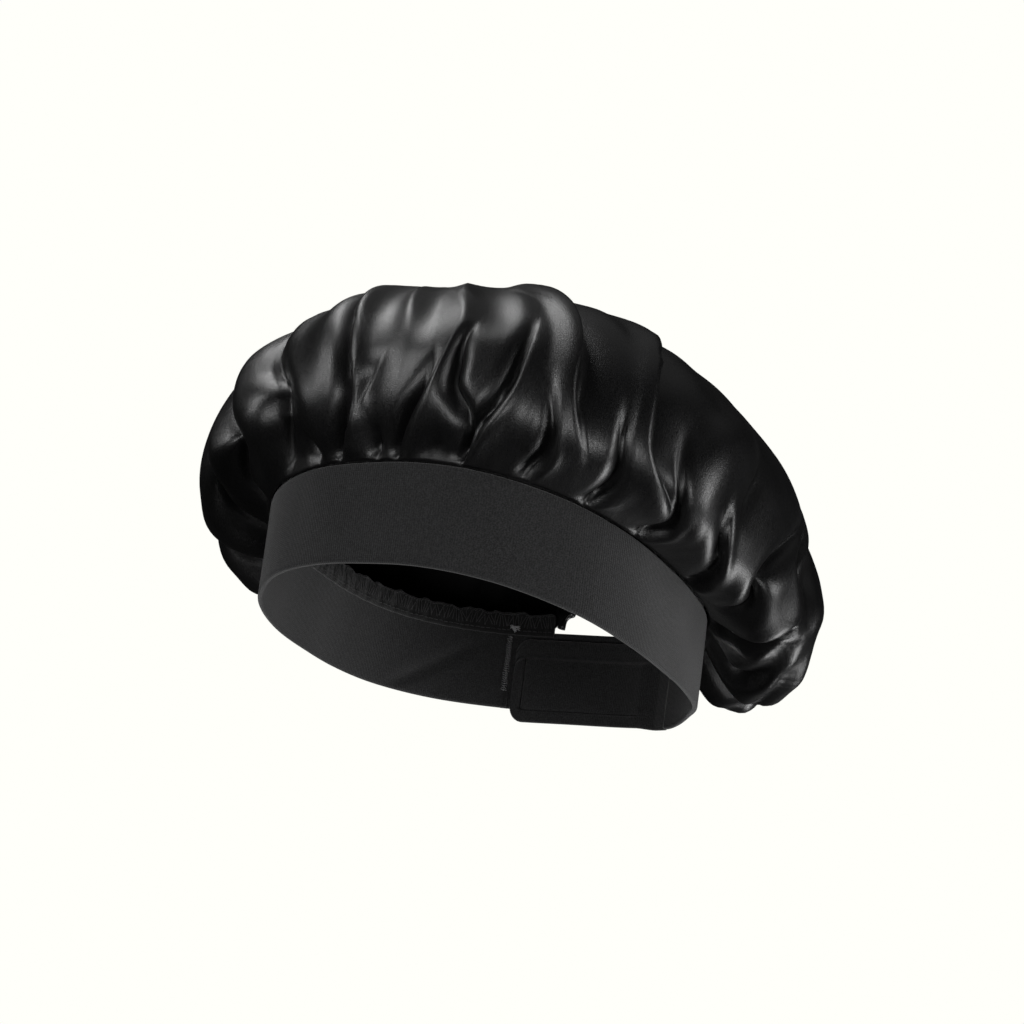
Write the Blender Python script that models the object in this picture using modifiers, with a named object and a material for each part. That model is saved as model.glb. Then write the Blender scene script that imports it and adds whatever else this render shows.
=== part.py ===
"""Sleep bonnet: a gathered satin crown on a knitted band, closed behind by a strap and a tab.

Metres, +Z up. The origin is the middle of the head opening, level with the rim, and the front
faces -Y. Azimuths are degrees round Z from +X, so the front is at -90 and the back at 90.
"""
import math

import bpy
import numpy as np

# Sizes of the band, at its outer face
BAND_HALF_WIDTH = 0.0868
BAND_HALF_LENGTH = 0.0908
BAND_SQUARENESS = 2.43
BAND_HEIGHT = 0.0370
BAND_WALL = 0.0024
BAND_SPREAD = 0.0009
BAND_LEAN = 0.0068
RIM_ARCH = 0.0027
RIM_SAG = 0.0050
CLEARANCE = 0.0003
END_CLEARANCE = 0.0007

# Sizes of the crown
CROWN_RISE = 0.1060
CROWN_PUFF = 0.0400
CROWN_WALL = 0.0012
CROWN_SWAY = 0.0120
CROWN_SETBACK = 0.0080
FOLD_DEPTH = 0.0075
FOLD_REACH = 0.0140
FOLD_EDGE = 0.0050
FOLD_SOFTNESS = 0.0010
SEWN_LENGTH = 0.0050

# Sizes of the closure behind
CLOSURE_AZIMUTH = 83.0
GAP_WIDTH = 0.0440
GAP_HEIGHT = 0.0150
HEM_RADIUS = 0.0018
BACK_JOIN_WIDTH = 0.0885
STRAP_WALL = 0.0016
PATCH_WALL = 0.0012
PATCH_HEIGHT = 0.0200
PATCH_MARGIN = 0.0040
TAB_WALL = 0.0018
TAB_BEND = 0.0160
TAB_INSET = 0.0015
TAB_DROP = 0.0045
TAB_CORNER = 0.0070

# Sizes of the sewn seam inside the band
SEAM_HEIGHT = 0.0105
SEAM_FOOT = 0.0030
SEAM_WALL = 0.0026

# Numbers of divisions
CROWN_COLUMNS = 104
CROWN_ROWS = 21
BAND_COLUMNS = 88
CURVE_SAMPLES = 48
FORM_SAMPLES = 720

# How the crown's mesh columns are drawn along the folds: the steepest sweep of a line that they
# follow, in degrees for the whole way up, the share where a line takes its column, how far past
# its ends it holds it, how firmly, and how firmly each column keeps its own place. Columns closer
# than GRAIN_LEAST of their even spacing are pushed apart GRAIN_PUSHES times. FOLD_WINDOW is how
# far round a fold is felt, in degrees.
GRAIN_SWEEP = 70.0
GRAIN_SHARE = 0.16
GRAIN_FADE = 0.15
GRAIN_GRIP = 2.0
GRAIN_TIE = 0.006
GRAIN_LEAST = 0.4
GRAIN_PUSHES = 60
FOLD_WINDOW = 16.0

# The crown's plain form. One row for each azimuth: how far it stands out, how high its widest
# place is above the band, the length and slope of its lip at the band, the lip's pull under the
# widest place, the rise above it and the flatness of its top.
# out and lip are shares of CROWN_PUFF, wide, low, rise and flat are shares of CROWN_RISE.
FORM_COLUMNS = ("azimuth", "out", "wide", "lip", "slope", "low", "rise", "flat")
FORM_ROWS = (
    (-135, 0.82, 0.22, 0.55, 20, 0.30, 0.51, 0.57),
    (-90, 0.54, 0.25, 0.35, 46, 0.20, 0.52, 0.68),
    (-45, 0.64, 0.26, 0.66, 22, 0.30, 0.41, 0.76),
    (0, 0.92, 0.25, 1.15, -24, 0.35, 0.36, 0.74),
    (44, 1.18, 0.11, 1.25, -55, 0.42, 0.55, 0.58),
    (76, 0.95, 0.42, 0.60, 18, 0.20, 0.40, 0.46),
    (102, 0.95, 0.48, 0.55, 30, 0.18, 0.40, 0.42),
    (134, 1.26, 0.16, 1.10, -24, 0.38, 0.60, 0.41),
    (180, 1.14, 0.21, 1.05, -30, 0.44, 0.52, 0.47),
)

# Folds of the crown. Each row is a line over the cloth, as azimuth and share of the way from
# the band to the top, then the height of the cloth left and right of it as shares of
# FOLD_DEPTH, and how far each side reaches, left and right, as shares of FOLD_REACH.
FOLD_ROWS = (
    # Side lobes, left of the front
    (((-171, 0.00), (-166, 0.10), (-160, 0.20), (-157, 0.34)), -0.9, -0.9, 0.9, 0.9),
    (((-158, 0.00), (-151, 0.11), (-144, 0.20), (-141, 0.34)), -1.1, -1.1, 1.0, 1.1),
    (((-141, 0.00), (-134, 0.12), (-132, 0.22), (-137, 0.40)), -1.2, -1.2, 1.1, 1.1),
    (((-119, 0.00), (-111, 0.10), (-111, 0.18), (-117, 0.30), (-124, 0.46)), -1.3, -1.1, 1.4, 1.0),
    # Upright gathers of the front
    (((-101, 0.00), (-95, 0.10), (-93, 0.17), (-97, 0.28), (-101, 0.40), (-104, 0.60)),
     -1.1, -1.1, 1.2, 0.9),
    (((-91, 0.00), (-88, 0.07), (-87, 0.16)), -0.6, -0.6, 0.5, 0.5),
    (((-85, 0.00), (-79, 0.09), (-76, 0.16), (-75, 0.25), (-78, 0.36)), -1.0, -0.8, 0.9, 0.8),
    (((-69, 0.10), (-71, 0.16), (-73, 0.25), (-73, 0.36)), -0.6, -0.7, 0.6, 0.6),
    (((-70, 0.00), (-65, 0.08), (-62, 0.15), (-61, 0.24), (-63, 0.40)), -1.0, -0.9, 0.8, 0.9),
    # First large fold
    (((-57, 0.00), (-52, 0.04), (-50, 0.10), (-52, 0.17), (-56, 0.27)), 0.2, -0.9, 0.9, 0.6),
    (((-45, 0.06), (-47, 0.20), (-50, 0.30), (-53, 0.41), (-59, 0.52), (-66, 0.68)), 0.6, -0.6, 1.0, 1.5),
    # Second large fold
    (((-40, 0.00), (-36, 0.04), (-37, 0.10), (-39, 0.17), (-41, 0.26)), 0.2, -0.9, 0.9, 0.6),
    (((-27, 0.05), (-31, 0.12), (-34, 0.18), (-35, 0.26), (-34, 0.38), (-38, 0.60)), 0.6, -0.6, 0.9, 1.4),
    # Third large fold
    (((-27, 0.00), (-22, 0.03), (-24, 0.09), (-26, 0.16), (-26, 0.28)), 0.2, -0.9, 0.8, 0.6),
    (((-12, 0.07), (-17, 0.12), (-18, 0.18), (-15, 0.26), (-9, 0.36), (-4, 0.52)), 0.6, -0.6, 0.8, 1.2),
    # Fourth large fold
    (((-8, 0.00), (-3, 0.03), (-6, 0.09), (-9, 0.15), (-8, 0.24)), 0.2, -0.9, 0.7, 0.6),
    (((2, 0.00), (3, 0.10), (4, 0.21), (6, 0.31), (10, 0.44)), 0.4, -0.8, 0.8, 0.8),
    # Folds drawn together at one place on the side
    (((26, 0.00), (22, 0.10), (17, 0.19), (14, 0.28), (15, 0.44)), -1.0, -1.0, 0.8, 0.8),
    (((20, 0.20), (31, 0.17), (42, 0.15)), -0.6, -0.6, 0.7, 0.7),
    (((20, 0.22), (30, 0.23), (42, 0.22)), -0.6, -0.6, 0.7, 0.7),
    (((38, 0.00), (34, 0.10), (26, 0.20), (25, 0.30), (28, 0.46)), -0.9, -0.9, 0.8, 0.8),
    # Gathers behind, over the gap
    (((50, 0.00), (50, 0.10), (48, 0.24), (45, 0.40)), -1.0, -1.0, 0.9, 0.9),
    (((61, 0.00), (62, 0.10), (60, 0.24), (57, 0.36)), -0.9, -0.9, 0.9, 0.9),
    (((72, 0.00), (71, 0.12), (70, 0.26), (70, 0.44)), -0.9, -0.9, 0.8, 0.8),
    (((81, 0.00), (80, 0.10), (81, 0.24)), -0.8, -0.8, 0.7, 0.7),
    (((89, 0.00), (90, 0.12), (91, 0.26), (90, 0.42)), -0.9, -0.9, 0.8, 0.8),
    (((97, 0.00), (99, 0.12), (101, 0.26)), -0.9, -0.9, 0.8, 0.8),
    # Gathers of the other side
    (((109, 0.00), (111, 0.14), (113, 0.28), (112, 0.48)), -1.1, -1.1, 1.0, 1.0),
    (((122, 0.00), (125, 0.10), (124, 0.22), (121, 0.36)), -1.0, -1.0, 0.9, 0.9),
    (((134, 0.00), (137, 0.14), (140, 0.28), (143, 0.48)), -1.1, -1.1, 1.0, 1.0),
    (((147, 0.00), (150, 0.10), (152, 0.24)), -0.9, -0.9, 0.9, 0.9),
    (((160, 0.00), (163, 0.12), (162, 0.26), (158, 0.44)), -1.1, -1.1, 1.0, 1.0),
    (((174, 0.00), (176, 0.10), (177, 0.26)), -0.9, -0.9, 0.9, 0.9),
    # Long soft folds over the top
    (((-90, 0.44), (-86, 0.58), (-76, 0.76)), -0.6, -0.6, 1.8, 1.8),
    (((150, 0.48), (142, 0.62), (130, 0.78)), -0.6, -0.6, 1.8, 1.8),
    (((-152, 0.46), (-158, 0.62), (-168, 0.76)), -0.6, -0.6, 1.8, 1.8),
    (((40, 0.48), (34, 0.62), (24, 0.76)), -0.6, -0.6, 1.8, 1.8),
    (((78, 0.46), (84, 0.62), (94, 0.76)), -0.6, -0.6, 1.8, 1.8),
    (((-20, 0.52), (-14, 0.66), (-4, 0.80)), -0.6, -0.6, 1.8, 1.8),
)

# The place where the cloth of the side is drawn in: azimuth, share of the way up, depth as a
# share of FOLD_DEPTH and reach as a share of FOLD_REACH.
PINCH = (18.0, 0.20, 0.8, 1.3)

# Colours, roughness and metallic value of each cloth
SATIN = ((0.012, 0.012, 0.013), 0.32, 0.0)
KNIT = ((0.030, 0.030, 0.032), 0.90, 0.0)
THREAD = ((0.060, 0.060, 0.062), 0.70, 0.0)


def clear_scene():
    """Remove every object of the open scene."""
    for thing in list(bpy.data.objects):
        bpy.data.objects.remove(thing, do_unlink=True)


def cloth_material(name, finish):
    """A Principled material from a finish: colour, roughness and metallic value."""
    colour, roughness, metallic = finish
    material = bpy.data.materials.new(name)
    material.use_nodes = True
    shader = material.node_tree.nodes["Principled BSDF"]
    shader.inputs["Base Color"].default_value = (*colour, 1.0)
    shader.inputs["Roughness"].default_value = roughness
    shader.inputs["Metallic"].default_value = metallic
    return material


def smooth_step(value):
    """0 below 0, 1 above 1, with a soft S between."""
    value = np.clip(value, 0.0, 1.0)
    return value * value * (3.0 - 2.0 * value)


def smooth_line(knots, count):
    """Points along a smooth open curve through the knots."""
    knots = np.asarray(knots, float)
    padded = np.vstack([2 * knots[0] - knots[1], knots, 2 * knots[-1] - knots[-2]])
    at = np.linspace(0.0, len(knots) - 1.0, count)
    span = np.minimum(at.astype(int), len(knots) - 2)
    part = (at - span)[:, None]
    a, b, c, d = (padded[span + k] for k in range(4))
    return 0.5 * (2 * b + (c - a) * part + (2 * a - 5 * b + 4 * c - d) * part**2
                  + (3 * b - a - 3 * c + d) * part**3)


def form_value(column, azimuth):
    """A column of the form table at any azimuth, as a smooth closed curve through its rows."""
    rows = np.array(FORM_ROWS, float)
    known = np.concatenate([rows[-2:, 0] - 360, rows[:, 0], rows[:3, 0] + 360])
    value = rows[:, FORM_COLUMNS.index(column)]
    value = np.concatenate([value[-2:], value, value[:3]])
    azimuth = np.mod(np.asarray(azimuth, float) + 180, 360) - 180
    azimuth = np.where(azimuth < known[2], azimuth + 360, azimuth)
    span = np.clip(np.searchsorted(known, azimuth, side="right") - 1, 1, len(known) - 3)
    slope = [(value[span + k + 1] - value[span + k - 1]) / (known[span + k + 1] - known[span + k - 1])
             for k in (0, 1)]
    width = known[span + 1] - known[span]
    part = (azimuth - known[span]) / width
    return (value[span] * (1 + 2 * part) * (1 - part) ** 2 + slope[0] * width * part * (1 - part) ** 2
            + value[span + 1] * part**2 * (3 - 2 * part) - slope[1] * width * part**2 * (1 - part))


def band_point(azimuth, level, depth=0.0):
    """A point of the band: level 0 at the rim and 1 at the top edge, depth inside its outer face."""
    turn = np.radians(azimuth)
    half_x = BAND_HALF_WIDTH + BAND_SPREAD * level
    half_y = BAND_HALF_LENGTH + BAND_SPREAD * level
    reach = (np.abs(np.cos(turn) / half_x) ** BAND_SQUARENESS
             + np.abs(np.sin(turn) / half_y) ** BAND_SQUARENESS) ** (-1 / BAND_SQUARENESS)
    saddle = (RIM_ARCH * (reach * np.sin(turn) / half_y) ** 2
              - RIM_SAG * (reach * np.cos(turn) / half_x) ** 2)
    x = (reach - depth) * np.cos(turn)
    y = (reach - depth) * np.sin(turn) - BAND_LEAN * level
    z = BAND_HEIGHT * level + saddle
    return np.stack(np.broadcast_arrays(x, y, z), -1)


def azimuth_width(length):
    """The azimuth, in degrees, that a length takes along the back of the band."""
    return math.degrees(length / BAND_HALF_LENGTH)


GAP_SPREAD = azimuth_width(GAP_WIDTH) / 2
JOIN_SPREAD = azimuth_width(BACK_JOIN_WIDTH) / 2
JOIN_STEP = azimuth_width(END_CLEARANCE)
BAND_LEFT_END = CLOSURE_AZIMUTH + JOIN_SPREAD - 360
BAND_RIGHT_END = CLOSURE_AZIMUTH - JOIN_SPREAD
STRAP_START = CLOSURE_AZIMUTH + JOIN_SPREAD - JOIN_STEP
TAB_END = BAND_RIGHT_END + JOIN_STEP
TAB_START = STRAP_START - azimuth_width(TAB_INSET)
STRAP_END = TAB_END + azimuth_width(TAB_BEND + END_CLEARANCE)
PATCH_END = STRAP_END + azimuth_width(PATCH_MARGIN)
PATCH_START = TAB_START - azimuth_width(TAB_CORNER + PATCH_MARGIN)
PATCH_DEPTH = STRAP_WALL + CLEARANCE
TAB_DEPTH = PATCH_DEPTH + PATCH_WALL + CLEARANCE


def gap_arch(azimuth):
    """Height of the gap's round top above the strap, 0 outside the gap."""
    off = np.mod(azimuth - CLOSURE_AZIMUTH + 180, 360) - 180
    inside = np.clip(1 - (off / GAP_SPREAD) ** 2, 0, 1)
    return GAP_HEIGHT * inside**0.6


def crown_edge(azimuth):
    """The crown's sewn edge: on the band's top, and over the hem's roll behind."""
    off = np.abs(np.mod(azimuth - CLOSURE_AZIMUTH + 180, 360) - 180)
    near = smooth_step((GAP_SPREAD * 1.3 - off) / (GAP_SPREAD * 0.25))
    roll = (2 * HEM_RADIUS + CLEARANCE + CROWN_WALL / 2) * near
    edge = band_point(azimuth, 1.0)
    edge[..., 2] += CLEARANCE + roll + gap_arch(azimuth)
    return edge


def around(azimuth, centre):
    """Azimuth from a centre, in degrees from -180 to 180."""
    return np.mod(azimuth - centre + 180, 360) - 180


def crown_profile(azimuths, shares):
    """The crown's plain form at a ring of azimuths: its points, and each profile's length."""
    edge = crown_edge(azimuths)
    reach = np.hypot(edge[:, 0], edge[:, 1])
    out_x = edge[:, 0] / reach
    out_y = edge[:, 1] / reach
    column = {name: form_value(name, azimuths) for name in FORM_COLUMNS[1:]}
    side = reach + column["out"] * CROWN_PUFF
    base = band_point(azimuths, 1.0)[:, 2]
    wide = base + column["wide"] * CROWN_RISE
    top = BAND_HEIGHT + CROWN_RISE
    lip = column["lip"] * CROWN_PUFF
    slope = np.radians(column["slope"])
    step = np.linspace(0, 1, CURVE_SAMPLES)[:, None]

    def bend(a, b, c, d):
        rest = 1 - step
        return rest**3 * a + 3 * step * rest**2 * b + 3 * step**2 * rest * c + step**3 * d

    low_r = bend(reach, reach + lip * np.cos(slope), side, side)
    low_z = bend(edge[:, 2], edge[:, 2] + lip * np.sin(slope), wide - column["low"] * CROWN_RISE, wide)
    high_r = bend(side, side, column["flat"] * CROWN_RISE, 0 * side)
    high_z = bend(wide, wide + column["rise"] * CROWN_RISE, 0 * side + top, 0 * side + top)
    r = np.concatenate([low_r, high_r[1:]])
    z = np.concatenate([low_z, high_z[1:]])
    drift = np.concatenate([0 * step, step[1:] ** 1.5])
    curve = np.stack([r * out_x - drift * CROWN_SWAY, r * out_y + drift * CROWN_SETBACK, z], -1)
    run = np.linalg.norm(np.diff(curve, axis=0), axis=2)
    run = np.concatenate([np.zeros((1, len(azimuths))), np.cumsum(run, 0)])
    points = np.empty((len(shares), len(azimuths), 3))
    for number, length in enumerate(run[-1]):
        for axis in range(3):
            points[:, number, axis] = np.interp(shares * length, run[:, number], curve[:, number, axis])
    return points, run[-1]


def grain_azimuths(columns, shares):
    """Azimuth of each mesh column at each share, so that the columns run along the folds.

    The columns are a ring of springs. Each fold's line holds one of them where the line runs.
    """
    home = np.arange(columns) * 360 / columns - 180
    ring = np.eye(columns)
    springs = (2 + GRAIN_TIE) * ring - np.roll(ring, 1, 0) - np.roll(ring, -1, 0)
    paths = [smooth_line(row[0], CURVE_SAMPLES) for row in FOLD_ROWS]
    paths = [path for path in paths if np.ptp(path[:, 0]) < GRAIN_SWEEP * np.ptp(path[:, 1])]
    held = [np.abs(around(home, np.interp(GRAIN_SHARE, path[:, 1], path[:, 0]))).argmin() for path in paths]
    azimuth = np.empty((len(shares), columns))
    for row, share in enumerate(shares):
        matrix = springs.copy()
        force = np.zeros(columns)
        for path, column in zip(paths, held):
            start = smooth_step((share - path[0, 1]) / GRAIN_FADE + 1)
            end = smooth_step((path[-1, 1] - share) / GRAIN_FADE + 1)
            grip = GRAIN_GRIP * (start * end) ** 4
            matrix[column, column] += grip
            force[column] += grip * around(np.interp(share, path[:, 1], path[:, 0]), home[column])
        place = home + np.linalg.solve(matrix, force)
        for _ in range(GRAIN_PUSHES):
            gap = np.roll(place, -1) - place
            gap[-1] += 360
            push = np.maximum(GRAIN_LEAST * 360 / columns - gap, 0) / 2
            place += np.roll(push, 1) - push
        azimuth[row] = place
    return azimuth


def crown_form(columns, shares):
    """The crown's plain form on the mesh's own columns: azimuths, points and profile lengths."""
    ring = np.arange(FORM_SAMPLES) * 360 / FORM_SAMPLES - 180
    profile, length = crown_profile(ring, shares)
    azimuth = grain_azimuths(columns, shares)
    points = np.empty((*azimuth.shape, 3))
    for row in range(len(shares)):
        for axis in range(3):
            points[row, :, axis] = np.interp(azimuth[row], ring, profile[row, :, axis], period=360)
    return azimuth, points, np.interp(azimuth, ring, length, period=360)


def surface_normals(points):
    """Outward unit normals of a closed ring of columns that ends in a pole."""
    across = np.roll(points, -1, 1) - np.roll(points, 1, 1)
    up = np.gradient(points, axis=0)
    normal = np.cross(across, up)
    normal[-1] = (0, 0, 1)
    return normal / np.maximum(np.linalg.norm(normal, axis=2, keepdims=True), 1e-9)


def side_height(distance, height, reach):
    """Height of one side of a fold's line: a round crest above the form, a narrow valley below."""
    part = np.clip(distance / reach, 0, 1)
    crest = (1 - part**2) ** 2
    valley = (1 - part) ** 2
    return height * (crest if height > 0 else valley)


def fold_heights(azimuth, shares, points, lengths):
    """Height of the folds over the plain form, at each of its points."""
    girth = np.hypot(points[..., 0], points[..., 1])
    share = np.broadcast_to(shares[:, None], girth.shape)
    total = np.zeros(girth.shape)
    for line, left, right, left_reach, right_reach in FOLD_ROWS:
        path = smooth_line(line, CURVE_SAMPLES)
        tangent = np.gradient(path, axis=0)
        middle = path[:, 0].mean()
        half = np.ptp(path[:, 0]) / 2 + FOLD_WINDOW
        near = (np.abs(around(azimuth, middle)) < half) & (share < path[:, 1].max() + 0.2)
        r = girth[near][:, None]
        tall = lengths[near][:, None]
        across = np.radians(around(azimuth[near][:, None], path[:, 0])) * r
        up = (share[near][:, None] - path[:, 1]) * tall
        distance = np.hypot(across, up)
        best = distance.argmin(1)[:, None]
        side = across * tangent[:, 1] * tall - up * np.radians(tangent[:, 0]) * r
        distance = np.take_along_axis(distance, best, 1)[:, 0]
        side = np.sign(np.take_along_axis(side, best, 1)[:, 0])
        place = best[:, 0] / (CURVE_SAMPLES - 1)
        fade = smooth_step((1 - place) / 0.45)
        if path[0, 1] > 0.05:
            fade = fade * smooth_step(place / 0.35)
        edge = smooth_step(0.5 + distance * side / FOLD_EDGE)
        soft = np.hypot(distance, FOLD_SOFTNESS) - FOLD_SOFTNESS
        left_height = side_height(soft, left, left_reach * FOLD_REACH)
        right_height = side_height(soft, right, right_reach * FOLD_REACH)
        total[near] += fade * FOLD_DEPTH * (left_height * (1 - edge) + right_height * edge)
    across = np.radians(around(azimuth, PINCH[0])) * girth
    up = (share - PINCH[1]) * lengths
    total -= PINCH[2] * FOLD_DEPTH * np.exp(-(across**2 + up**2) / (PINCH[3] * FOLD_REACH) ** 2)
    sewn = smooth_step(share * lengths / SEWN_LENGTH)
    pole = smooth_step((1 - share) * lengths / (2 * FOLD_REACH))
    return total * sewn * pole


def add_mesh(collection, name, points, faces, material):
    """An object from points and faces, in the collection."""
    mesh = bpy.data.meshes.new(name)
    mesh.from_pydata([tuple(map(float, point)) for point in points], [], faces)
    mesh.materials.append(material)
    mesh.update()
    thing = bpy.data.objects.new(name, mesh)
    collection.objects.link(thing)
    mesh.shade_smooth()
    mesh.set_sharp_from_angle(angle=math.radians(50))
    return thing


def thicken(thing, wall):
    """Give an open sheet its wall, inward from its outer face."""
    solid = thing.modifiers.new("wall", "SOLIDIFY")
    solid.thickness = wall
    solid.offset = -1
    solid.use_rim = True
    return thing


def add_strip(collection, name, grid, wall, material):
    """An open strip of cloth from rows of points that run from left to right, seen from outside."""
    rows, columns = grid.shape[:2]
    faces = [(row * columns + column, row * columns + column + 1,
              (row + 1) * columns + column + 1, (row + 1) * columns + column)
             for row in range(rows - 1) for column in range(columns - 1)]
    return thicken(add_mesh(collection, name, grid.reshape(-1, 3), faces, material), wall)


def add_crown(collection, material):
    """The gathered crown: its folded form as one sheet closed at the top, with its wall."""
    shares = np.linspace(0, 1, CROWN_ROWS) ** 1.15
    azimuth, form, lengths = crown_form(CROWN_COLUMNS, shares)
    heights = fold_heights(azimuth, shares, form, lengths)
    points = form + surface_normals(form) * heights[..., None]
    rings = points[:-1].reshape(-1, 3)
    pole = points[-1].mean(0)
    faces = []
    for column in range(CROWN_COLUMNS):
        following = (column + 1) % CROWN_COLUMNS
        for row in range(CROWN_ROWS - 2):
            low = row * CROWN_COLUMNS
            high = low + CROWN_COLUMNS
            faces.append((low + column, low + following, high + following, high + column))
        last = (CROWN_ROWS - 2) * CROWN_COLUMNS
        faces.append((last + column, last + following, len(rings)))
    crown = add_mesh(collection, "crown", np.vstack([rings, pole]), faces, material)
    return thicken(crown, CROWN_WALL)


def add_band(collection, material):
    """The knitted band, from its left end behind, round the front, to its right end."""
    azimuths = np.linspace(BAND_LEFT_END, BAND_RIGHT_END, BAND_COLUMNS)
    grid = np.stack([band_point(azimuths, level) for level in (0.0, 0.5, 1.0)])
    return add_strip(collection, "band", grid, BAND_WALL, material)


def add_seam(collection, material):
    """The overlocked seam allowance, a ridge that stands up inside the band's top edge."""
    spread = GAP_SPREAD + azimuth_width(HEM_RADIUS + END_CLEARANCE)
    azimuths = np.linspace(CLOSURE_AZIMUTH + spread - 360, CLOSURE_AZIMUTH - spread, BAND_COLUMNS)
    levels = 1 + (np.linspace(0, SEAM_HEIGHT, 3) - SEAM_FOOT) / BAND_HEIGHT
    grid = np.stack([band_point(azimuths, level, BAND_WALL + CLEARANCE) for level in levels])
    return add_strip(collection, "overlock_seam", grid, SEAM_WALL, material)


def add_strap(collection, material):
    """The outer strap, sewn to the band's left end and reaching over the gap's foot."""
    azimuths = np.linspace(STRAP_END, STRAP_START, 18)
    grid = np.stack([band_point(azimuths, level) for level in (0.0, 0.5, 1.0)])
    return add_strip(collection, "outer_strap", grid, STRAP_WALL, material)


def add_patch(collection, material):
    """The hidden fastening patch between strap and tab."""
    azimuths = np.linspace(PATCH_END, PATCH_START, 12)
    half = PATCH_HEIGHT / BAND_HEIGHT / 2
    grid = np.stack([band_point(azimuths, 0.4 + k * half, PATCH_DEPTH) for k in (-1, 1)])
    return add_strip(collection, "closure_patch", grid, PATCH_WALL, material)


def add_tab(collection, material):
    """The inner tab, from the band's right end to its free end with round corners."""
    azimuths = np.linspace(TAB_END, TAB_START, 26)
    from_end = np.radians(TAB_START - azimuths) * BAND_HALF_LENGTH
    from_band = np.radians(azimuths - TAB_END) * BAND_HALF_LENGTH
    sunk = smooth_step(from_band / (0.6 * TAB_BEND))
    inside = smooth_step((from_band / TAB_BEND - 0.4) / 0.6)
    corner = np.clip(1 - from_end / TAB_CORNER, 0, 1)
    rounding = TAB_CORNER * (1 - np.sqrt(1 - corner**2))
    low = (rounding - TAB_DROP * sunk) / BAND_HEIGHT
    high = 1 - (rounding + TAB_DROP * sunk) / BAND_HEIGHT
    depth = TAB_DEPTH * inside
    grid = np.stack([band_point(azimuths, low + (high - low) * share, depth) for share in (0.0, 0.5, 1.0)])
    return add_strip(collection, "inner_tab", grid, TAB_WALL, material)


def add_hem(collection, material):
    """The rolled, gathered hem round the top of the gap, as a tube."""
    azimuths = np.linspace(CLOSURE_AZIMUTH - GAP_SPREAD, CLOSURE_AZIMUTH + GAP_SPREAD, 33)
    route = band_point(azimuths, 1.0, HEM_RADIUS)
    route[:, 2] += HEM_RADIUS + CLEARANCE + gap_arch(azimuths)
    curve = bpy.data.curves.new("back_hem", "CURVE")
    curve.dimensions = "3D"
    curve.bevel_depth = HEM_RADIUS
    curve.bevel_resolution = 2
    curve.use_fill_caps = True
    spline = curve.splines.new("POLY")
    spline.points.add(len(route) - 1)
    for point, place in zip(spline.points, route):
        point.co = (*map(float, place), 1.0)
    curve.materials.append(material)
    hem = bpy.data.objects.new("back_hem", curve)
    collection.objects.link(hem)
    return hem


def build():
    """Build every piece of the bonnet."""
    clear_scene()
    collection = bpy.data.collections.new("sleep_bonnet")
    bpy.context.scene.collection.children.link(collection)
    satin = cloth_material("satin", SATIN)
    knit = cloth_material("knit", KNIT)
    thread = cloth_material("thread", THREAD)
    add_crown(collection, satin)
    add_band(collection, knit)
    add_seam(collection, thread)
    add_strap(collection, knit)
    add_patch(collection, knit)
    add_tab(collection, knit)
    add_hem(collection, satin)


build()
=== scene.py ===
"""The finished look of a sleep bonnet: a gathered satin crown on a knitted band, closed behind.

Metres, +Z up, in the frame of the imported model: the origin is the middle of the head opening and
the front faces -Y. Azimuths are degrees round Z from +X, so the back is at 90.
"""
import logging
import math
from dataclasses import asdict, dataclass
from enum import Enum
from typing import Callable, Sequence, Union

import bpy
import numpy as np
from mathutils import Matrix, Vector


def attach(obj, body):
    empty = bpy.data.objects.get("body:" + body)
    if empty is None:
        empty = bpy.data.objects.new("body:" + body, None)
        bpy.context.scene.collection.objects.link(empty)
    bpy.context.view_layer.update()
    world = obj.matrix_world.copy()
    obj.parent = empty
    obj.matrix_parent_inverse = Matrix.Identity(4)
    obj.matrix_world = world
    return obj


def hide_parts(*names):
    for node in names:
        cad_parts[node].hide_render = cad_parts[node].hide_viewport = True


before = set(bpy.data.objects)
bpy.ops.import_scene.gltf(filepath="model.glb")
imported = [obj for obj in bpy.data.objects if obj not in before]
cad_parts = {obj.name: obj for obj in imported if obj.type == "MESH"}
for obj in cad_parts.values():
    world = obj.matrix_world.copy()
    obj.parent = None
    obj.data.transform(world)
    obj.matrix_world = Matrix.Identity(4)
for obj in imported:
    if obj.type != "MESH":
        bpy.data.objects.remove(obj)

Grid = np.ndarray
Point = tuple[float, float, float]
Run = tuple[Grid, Grid]
Table = tuple[tuple[float, ...], ...]
Place = Callable[[Grid, Grid, Grid], Grid]

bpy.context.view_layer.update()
FACING = "facing"
CLOTH_MAP = "cloth"

log = logging.getLogger("sleep_bonnet")


def soft_step(value: Grid) -> Grid:
    """0 below 0, 1 above 1, with a soft S between."""
    value = np.clip(value, 0.0, 1.0)
    return value * value * (3.0 - 2.0 * value)


def around(azimuth: Grid, centre: Grid) -> Grid:
    """Azimuth from a centre, in degrees from -180 to 180."""
    return np.mod(azimuth - centre + 180, 360) - 180


def smooth_line(knots: Sequence[Sequence[float]], count: int) -> Grid:
    """Points along a smooth open curve through its knots.

    Args:
        knots: the points that the curve goes through.
        count: how many points are wanted.

    Returns:
        An array of count points.
    """
    known = np.asarray(knots, float)
    padded = np.vstack([2 * known[0] - known[1], known, 2 * known[-1] - known[-2]])
    at = np.linspace(0.0, len(known) - 1.0, count)
    span = np.minimum(at.astype(int), len(known) - 2)
    part = (at - span)[:, None]
    a, b, c, d = (padded[span + k] for k in range(4))
    return 0.5 * (2 * b + (c - a) * part + (2 * a - 5 * b + 4 * c - d) * part**2
                  + (3 * b - a - 3 * c + d) * part**3)


def bell(value: Grid, centre: float, width: float) -> Grid:
    """1 at a centre, and less to both sides of it."""
    return np.exp(-((value - centre) / width) ** 2)


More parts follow.
